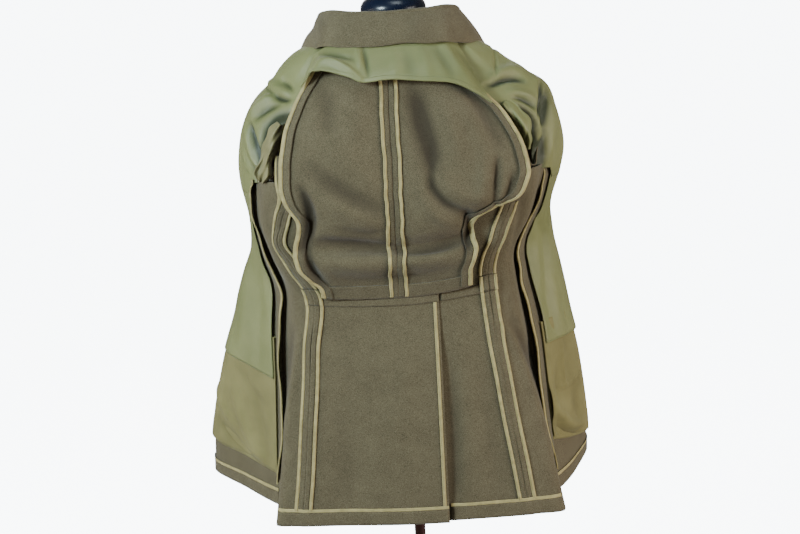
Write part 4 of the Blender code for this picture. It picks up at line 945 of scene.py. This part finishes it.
shoulder_folds = (
    Fold(14.2, 141.4, 17.0, 142.2, 19.8, 141.7, 0.42, -0.80),
    Fold(14.6, 142.6, 17.4, 143.2, 20.2, 142.6, 0.60, 0.58),
    Fold(18.1, 139.6, 19.8, 138.9, 21.6, 137.4, 0.40, -0.61),
    Fold(17.2, 140.4, 19.2, 140.0, 21.2, 138.9, 0.55, 0.43),
    Fold(22.7, 140.8, 22.5, 138.5, 21.8, 136.3, 0.34, -0.80),
    Fold(23.5, 139.2, 22.9, 136.8, 22.3, 134.4, 0.80, -1.09),
    Fold(24.3, 134.6, 23.6, 131.0, 23.4, 126.5, 0.9, 0.58),
    Fold(22.7, 133.4, 22.5, 130.5, 22.9, 127.5, 0.7, -0.87),
    Fold(21.9, 137.2, 21.9, 134.6, 21.3, 131.4, 0.6, 0.61),
    Fold(18.3, 138.1, 20.1, 136.9, 21.2, 134.9, 0.36, -0.58),
    Fold(14.4, 146.6, 15.4, 144.0, 14.6, 141.9, 0.20, -0.29),
    Fold(-19.3, 141.7, -21.5, 140.3, -23.7, 138.4, 0.50, 0.70),
    Fold(-18.6, 140.2, -20.8, 139.2, -22.6, 137.8, 0.45, -0.49),
    Fold(-20.6, 142.4, -18.6, 141.2, -16.8, 141.0, 0.40, -0.65),
    Fold(-18.6, 143.6, -17.4, 143.2, -16.4, 142.4, 0.40, -0.52),
    Fold(-20.9, 143.4, -18.6, 142.4, -16.8, 142.0, 0.50, 0.43),
    Fold(-23.7, 137.0, -23.0, 134.2, -22.2, 131.0, 0.42, -1.09),
    Fold(-24.4, 137.4, -23.9, 134.0, -23.2, 130.5, 0.55, 0.65),
    Fold(-24.0, 131.6, -23.3, 130.0, -22.6, 128.8, 0.36, -0.58),
    Fold(-24.8, 134.0, -24.9, 132.0, -24.5, 129.6, 0.45, 0.41),
    Fold(-15.0, 145.4, -16.8, 144.6, -19.2, 143.0, 0.50, 0.35),
)
armholes = {"left": (0.9, 7.3, 1.72, 1.75), "right": (0.9, 7.2, 1.50, 1.62)}
for tag, sign in (("left", -1), ("right", 1)):
    short = tag[0]
    notch = armholes[tag]
    far = notch[0] + notch[2]
    hole = (*sorted((0.0, sign * far)), 0.0, notch[1] + notch[3])
    shoulder = Drape(rounded_notch(body, notch), shoulder_folds, lift=shoulder_lift(notch), folds_to=5.4)
    cap_lining = cut(f"shoulder_lining_{tag}", shoulder, sorted((sign * 0.72, sign * (ROUND - 0.02))),
                     (edge_steps((0.0, 7.3), (3.5, 7.25), (4.2, 6.85), (8.0, 6.85)), NECK),
                     0.27, 0.10, SATEEN, [f"armhole_lining_{short}", f"shoulder_lining_{short}"],
                     lift=0.44, hole=hole)

# ---- Sleeves ----
# Left hanging inside the body as flattened open tubes; their linings are dragged out in twisted folds
# at the armholes.
Wrist = namedtuple("Wrist", "x y z across_x across_y top_x top_z")
SLEEVE_ROWS = (
    Wrist(20.9, -7.9, 132.2, 1.05, 1.15, -0.2, 3.6), Wrist(19.4, -5.6, 129.6, 0.7, 2.3, -0.8, 2.9),
    Wrist(17.9, -1.8, 124.5, 0.0, 4.2, -1.1, 0.9), Wrist(16.0, 0.6, 118.0, 0.0, 5.0, -0.9, 0.2),
    Wrist(14.9, 1.6, 109.2, 0.0, 5.2, -0.8, 0.0), Wrist(16.6, 1.9, 99.0, 0.0, 5.8, -1.0, 0.0),
    Wrist(17.9, 2.2, 89.0, 0.0, 6.4, -1.2, 0.0), Wrist(18.6, 2.4, 79.5, 0.0, 6.6, -1.3, 0.0),
)
for tag, sign in (("left", -1), ("right", 1)):
    around, along_arm = 49, 150
    turns = np.linspace(0.0, 1.0, around)[:, None]
    rows = np.linspace(0.0, 7.0, along_arm)[None, :]
    ring = through(SLEEVE_ROWS, np.broadcast_to(rows, (around, along_arm)))
    angle = 2 * np.pi * turns
    rumple = 0.10 * np.sin(2.6 * rows + 5.0 * np.cos(angle)) + 0.06 * np.sin(7.1 * rows + 3.0 * angle)
    sideways = ring[..., 0] + ring[..., 3] * np.cos(angle) + (ring[..., 5] - rumple) * np.sin(angle)
    tube = np.stack([sideways * sign,
                     ring[..., 1] + ring[..., 4] * np.cos(angle),
                     ring[..., 2] + ring[..., 6] * np.sin(angle)], axis=-1)
    if sign > 0:
        tube = tube[::-1]
    sleeve = sew(f"sleeve_{tag}", tube[:-1], 0.20, WOOL, closed=True)
    take_up(sleeve, f"sleeve_{tag[0]}", slot="wool")

Twist = namedtuple("Twist", "x y z half turn")
tangles = {
    "left": (
        Twist(-18.3, -11.2, 137.6, 0.9, 0.2), Twist(-19.3, -11.4, 136.0, 1.5, 0.9),
        Twist(-20.2, -11.3, 134.4, 1.4, 1.6), Twist(-20.9, -11.0, 132.8, 1.1, 2.4),
        Twist(-21.5, -10.8, 131.2, 1.2, 3.1), Twist(-22.0, -10.6, 129.6, 1.3, 4.0),
        Twist(-22.4, -9.8, 128.4, 0.7, 4.6)),
    "right": (
        Twist(16.4, -10.6, 139.2, 0.8, 0.3), Twist(17.6, -10.8, 137.8, 1.3, 1.1),
        Twist(18.6, -10.9, 136.4, 1.5, 1.8), Twist(19.3, -10.8, 135.0, 1.4, 2.6),
        Twist(19.6, -10.5, 133.6, 1.1, 3.4), Twist(19.8, -10.0, 132.4, 0.8, 4.2),
        Twist(20.0, -9.4, 131.4, 0.5, 4.8)),
}
dragged = Recipe("sleeve_lining", Roughness=0.55, Sheen_Weight=0.2)
dragged_where = dragged.place()
dragged_tone = (dragged.noise(dragged_where, 26.0, 3.0) * 1.6 - 0.3).kept()
dragged.colour(dragged.mix(dragged_tone, (0.140, 0.130, 0.052), (0.240, 0.214, 0.098)))
dragged.bump(dragged.noise(dragged_where, 120.0, 4.0), 0.0012, 0.6)
for tag, sign in (("left", -1), ("right", 1)):
    rows = np.linspace(0.0, 6.0, 90)[None, :]
    across = np.linspace(-1.0, 1.0, 37)[:, None]
    spine = through(tangles[tag], np.broadcast_to(rows, (37, 90)))
    ahead = np.gradient(spine[..., :3], axis=1)
    ahead /= np.linalg.norm(ahead, axis=-1, keepdims=True)
    sideways = np.cross(ahead, np.array([0.0, -1.0, 0.0]))
    sideways /= np.linalg.norm(sideways, axis=-1, keepdims=True)
    crimp = 0.50 * np.sin(3.4 * across + spine[..., 4]) + 0.14 * np.sin(8.0 * across - 1.7 * spine[..., 4])
    tuck = 0.9 * across ** 2
    heap = spine[..., :3] + sideways * (across * spine[..., 3] * (1 + 0.12 * np.sin(3.0 * rows)))[..., None]
    heap = heap + np.array([0.0, -1.0, 0.0]) * (crimp - tuck)[..., None]
    heap = heap if sign < 0 else heap[::-1]
    lining_twist = sew(f"sleeve_lining_{tag}", heap, 0.09, dragged.material if sign < 0 else SATEEN)
    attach(lining_twist, "root")

# ---- Half-lining flap ----
# The loose lower edge of the half lining, hemmed and tumbled across the shoulder blades.
Yoke = namedtuple("Yoke", "x top_y top_z low_x low_y low_z")
YOKE_ROWS = (
    Yoke(-13.0, -7.2, 147.8, -14.9, -12.2, 143.4), Yoke(-10.6, -7.8, 149.2, -12.2, -13.6, 145.8),
    Yoke(-7.5, -8.6, 150.2, -7.8, -14.6, 145.0), Yoke(-4.6, -8.8, 150.4, -5.2, -14.9, 143.9),
    Yoke(-1.2, -8.9, 150.4, -1.2, -14.9, 144.0), Yoke(3.5, -8.8, 150.4, 3.7, -14.9, 143.7),
    Yoke(7.0, -7.8, 150.2, 8.2, -14.5, 143.2), Yoke(8.6, -7.2, 149.8, 11.6, -14.0, 141.4),
    Yoke(9.4, -6.8, 149.2, 14.4, -13.2, 139.5),
)
yoke_folds = (
    Fold(-12.4, 146.6, -9.6, 147.0, -5.6, 144.6, 0.42, 0.70),
    Fold(-11.6, 148.1, -9.4, 148.0, -6.6, 147.3, 0.36, -0.35),
    Fold(-5.0, 148.8, -4.6, 147.0, -4.4, 145.0, 0.38, -0.35),
    Fold(-6.0, 148.6, -5.7, 147.2, -5.6, 146.0, 0.45, 0.30),
    Fold(-12.8, 146.2, -13.2, 145.0, -14.0, 143.6, 0.40, 0.35),
    Fold(-0.6, 148.6, -0.2, 146.4, -0.4, 144.4, 0.80, 0.15),
    Fold(3.6, 148.8, 4.4, 146.4, 5.0, 144.0, 0.80, 0.20),
    Fold(1.4, 148.0, 1.9, 146.2, 2.2, 144.4, 0.90, -0.15),
    Fold(7.2, 149.0, 9.2, 146.0, 11.2, 143.0, 0.70, 0.30),
    Fold(6.0, 148.4, 7.6, 146.0, 8.6, 143.8, 0.70, -0.18),
    Fold(9.2, 148.0, 11.4, 145.0, 13.2, 141.6, 0.55, -0.18),
    Fold(10.6, 147.4, 12.8, 143.8, 14.2, 140.8, 0.45, 0.30),
)


def yoke(place, rise):
    place, rise = paired(place, rise)
    drop = 1.0 - rise
    row = through(YOKE_ROWS, place)
    wave = 0.12 * np.sin(1.9 * place + 0.4) * smooth(drop)
    top = row[..., 0:3]
    low = row[..., 3:6] + np.stack([0 * wave, -0.4 * wave, wave], axis=-1)
    held = np.clip(drop, 0.0, 1.0)
    out = np.stack([held, held ** 1.15, held], axis=-1)
    return top + (low - top) * out - np.array([0.0, 1.25, 0.0]) * (np.sin(np.pi * held) * held)[..., None]


yoke_drape = Drape(yoke, yoke_folds)
flap_of_lining = cut("half_lining_flap", yoke_drape, (0.0, 8.0), (0.0, 1.0), 0.16, 0.10, SATEEN,
                     ["yoke_lining"])
flap_hem = cut("half_lining_hem", yoke_drape, (0.0, 8.0), (0.0, 0.10), 0.16, 0.10, SATEEN, [],
               lift=0.11)

# ---- Collar ----
# One strip round the neck: the stand rises inside, rolls over and falls outside.
Neckline = namedtuple("Neckline", "station fold_x fold_y fold_z fall_x fall_y fall_z")
COLLAR_ROWS = (
    Neckline(0.0, 0.0, -7.6, 153.5, 0.0, -10.6, 148.9), Neckline(0.9, 6.0, -6.6, 153.7, 6.2, -10.2, 149.0),
    Neckline(2.0, 9.6, -4.3, 153.9, 10.6, -8.0, 148.9), Neckline(4.5, 11.0, -0.5, 152.9, 15.6, -0.2, 147.0),
    Neckline(7.0, 10.2, 4.0, 149.6, 14.6, 5.4, 144.7), Neckline(8.0, 8.0, 7.8, 146.9, 11.6, 11.2, 141.9),
)
COLLAR_X = -1.1


def collar(place, turn):
    """Turn runs up the stand to 1, round the roll to 2 and down the fall to 3."""
    place, turn = paired(place, turn)
    side = np.where(place < 0, -1.0, 1.0)
    reach = np.where(place < 0, -0.93, 1.0)
    row = through(COLLAR_ROWS, np.abs(place))
    neck = body(row[..., 0] * side, float(NECK)) + np.array([0.0, 0.0, 0.4])
    sag = 0.16 * np.sin(2.3 * place + 0.6) + 0.08 * np.sin(5.2 * place)
    fold = np.stack([COLLAR_X + row[..., 1] * reach, row[..., 2], row[..., 3]], axis=-1)
    fall = np.stack([COLLAR_X + row[..., 4] * reach, row[..., 5], row[..., 6] + sag], axis=-1)
    out = (fall - fold) * np.array([1.0, 1.0, 0.0])
    out /= np.linalg.norm(out, axis=-1, keepdims=True)
    rise = np.clip(turn, 0.0, 1.0)[..., None]
    stand = neck + (fold - neck) * rise - out * 0.2 * np.sin(np.pi * rise)
    angle = np.pi * np.clip(turn - 1.0, 0.0, 1.0)[..., None]
    up = np.array([0.0, 0.0, 1.0])
    roll = fold + out * 0.35 * (1 - np.cos(angle)) + up * 0.35 * np.sin(angle)
    share = np.clip(turn - 2.0, 0.0, 1.0)[..., None]
    start = fold + out * 0.7
    drop = start + (fall - start) * share + out * 0.4 * np.sin(np.pi * share)
    return np.select([(turn <= 1)[..., None], (turn <= 2)[..., None]], [stand, roll], drop)


collar_folds = (
    Fold(-13.6, 153.0, -13.0, 150.8, -13.4, 148.4, 0.8, 0.30),
    Fold(-11.6, 153.4, -11.2, 151.2, -11.6, 149.0, 0.7, -0.24),
    Fold(-5.6, 153.0, -5.0, 151.2, -5.4, 149.2, 1.4, 0.16),
    Fold(3.0, 152.6, 3.4, 151.0, 3.2, 149.2, 1.5, -0.18),
    Fold(8.4, 153.0, 9.4, 151.0, 9.6, 149.0, 1.0, 0.22),
)


def collar_edge(place, turn):
    """The seamed outer edge is thicker, with a shallow furrow where it is topstitched."""
    return 0.07 * smooth((turn - 2.9) / 0.06) - 0.05 * np.exp(-((turn - 2.86) / 0.018) ** 2)


collar_drape = Drape(collar, collar_folds, lift=collar_edge)
collar_top = cut("collar_cloth", collar_drape, (-5.0, 5.0), (0.0, 3.0), 0.16, 0.24, WOOL, ["collar"],
                 edge=0.06)

# ---- Lapels and buttons ----
# Lapels rolled back over the facings, and the plain domed buttons down the left front.
for tag, sign in (("left", -1), ("right", 1)):
    def lapel(share, level, sign=sign):
        share, level = paired(share, level)
        width = 0.12 + 0.63 * smooth((level - 6.0) / 5.0)
        place = (EDGE - width * share) * sign
        step = 0.02
        here = body(place, level)
        along = body(np.minimum(place + step, EDGE), level) - body(np.maximum(place - step, -EDGE), level)
        up = body(place, level + step) - body(place, level - step)
        out = at_right_angles(along, up)
        return here + out * (0.52 + 0.4 * np.sin(np.pi * share))[..., None]

    lapel_piece = cut(f"lapel_{tag}", Drape(lapel), (0.0, 1.0)[::-sign], (6.0, 9.9), 0.3, 0.20, WOOL,
                      [f"lapel_{tag[0]}"], edge=0.05)

brass = plain_finish("button_brass", (0.36, 0.24, 0.075), 0.34, metallic=1.0)
for number in range(1, 5):
    bpy.data.objects[f"button_{number}"].material_slots[0].material = brass

# ---- Stage ----
# A pale floor, soft studio light from above and both sides, and the camera.
bpy.ops.mesh.primitive_plane_add(size=60.0, location=(0.0, 20.0, 0.0))
floor = bpy.context.object
floor.name = "studio_floor"
pale = Recipe("pale_floor", Roughness=0.9)
pale.shader.inputs["Base Color"].default_value = (0.85, 0.88, 0.92, 1.0)
pale.shader.inputs["Emission Color"].default_value = (0.90, 0.965, 1.0, 1.0)
pale.shader.inputs["Emission Strength"].default_value = 9.0
floor.data.materials.append(pale.material)
floor.visible_diffuse = False
floor.visible_glossy = False

world = bpy.data.worlds.new("studio")
bpy.context.scene.world = world
world.use_nodes = True
world.node_tree.nodes["Background"].inputs[0].default_value = (1.0, 0.90, 0.76, 1.0)
world.node_tree.nodes["Background"].inputs[1].default_value = 0.16
pale_sky = world.node_tree.nodes.new("ShaderNodeBackground")
pale_sky.inputs[0].default_value = (0.90, 0.965, 1.0, 1.0)
pale_sky.inputs[1].default_value = 9.0
seen = world.node_tree.nodes.new("ShaderNodeLightPath")
either = world.node_tree.nodes.new("ShaderNodeMixShader")
world.node_tree.links.new(seen.outputs["Is Camera Ray"], either.inputs[0])
world.node_tree.links.new(world.node_tree.nodes["Background"].outputs[0], either.inputs[1])
world.node_tree.links.new(pale_sky.outputs[0], either.inputs[2])
world.node_tree.links.new(either.outputs[0], world.node_tree.nodes["World Output"].inputs[0])

Lamp = namedtuple("Lamp", "name x y z size power red green blue")
for lamp in (
    Lamp("key", -2.0, -2.1, 2.4, 0.7, 114.0, 0.80, 0.98, 1.03),
    Lamp("fill", 2.7, -1.2, 1.2, 1.5, 88.0, 1.0, 0.93, 0.82),
    Lamp("side", -2.9, -0.6, 1.1, 1.5, 40.0, 1.0, 0.91, 0.74),
    Lamp("top", 0.3, -0.9, 3.3, 0.8, 12.0, 0.86, 0.99, 1.0),
    Lamp("front", 0.0, 2.6, 2.2, 2.0, 26.0, 1.0, 0.98, 0.95),
):
    light = bpy.data.lights.new(lamp.name, "AREA")
    light.size = lamp.size
    light.energy = lamp.power
    light.color = (lamp.red, lamp.green, lamp.blue)
    holder = bpy.data.objects.new(lamp.name, light)
    bpy.context.scene.collection.objects.link(holder)
    holder.location = (lamp.x, lamp.y, lamp.z)
    aim = np.array([0.0, 0.0, 1.15]) - np.array([lamp.x, lamp.y, lamp.z])
    flat_length = math.hypot(aim[0], aim[1])
    holder.rotation_euler = (math.atan2(flat_length, -aim[2]), 0.0, math.atan2(-aim[0], aim[1]))

camera = bpy.data.objects.new("camera", bpy.data.cameras.new("camera"))
bpy.context.scene.collection.objects.link(camera)
camera.data.lens = 63.36
camera.data.sensor_width = 36.0
camera.location = (-0.011, -2.30, 1.66)
camera.rotation_mode = "XYZ"
pitch, roll = math.radians(13.4), math.radians(3.04)
camera.rotation_euler = (math.pi / 2 - pitch, 0.0, 0.0)
camera.rotation_euler.rotate_axis("Z", -roll)
bpy.context.scene.camera = camera
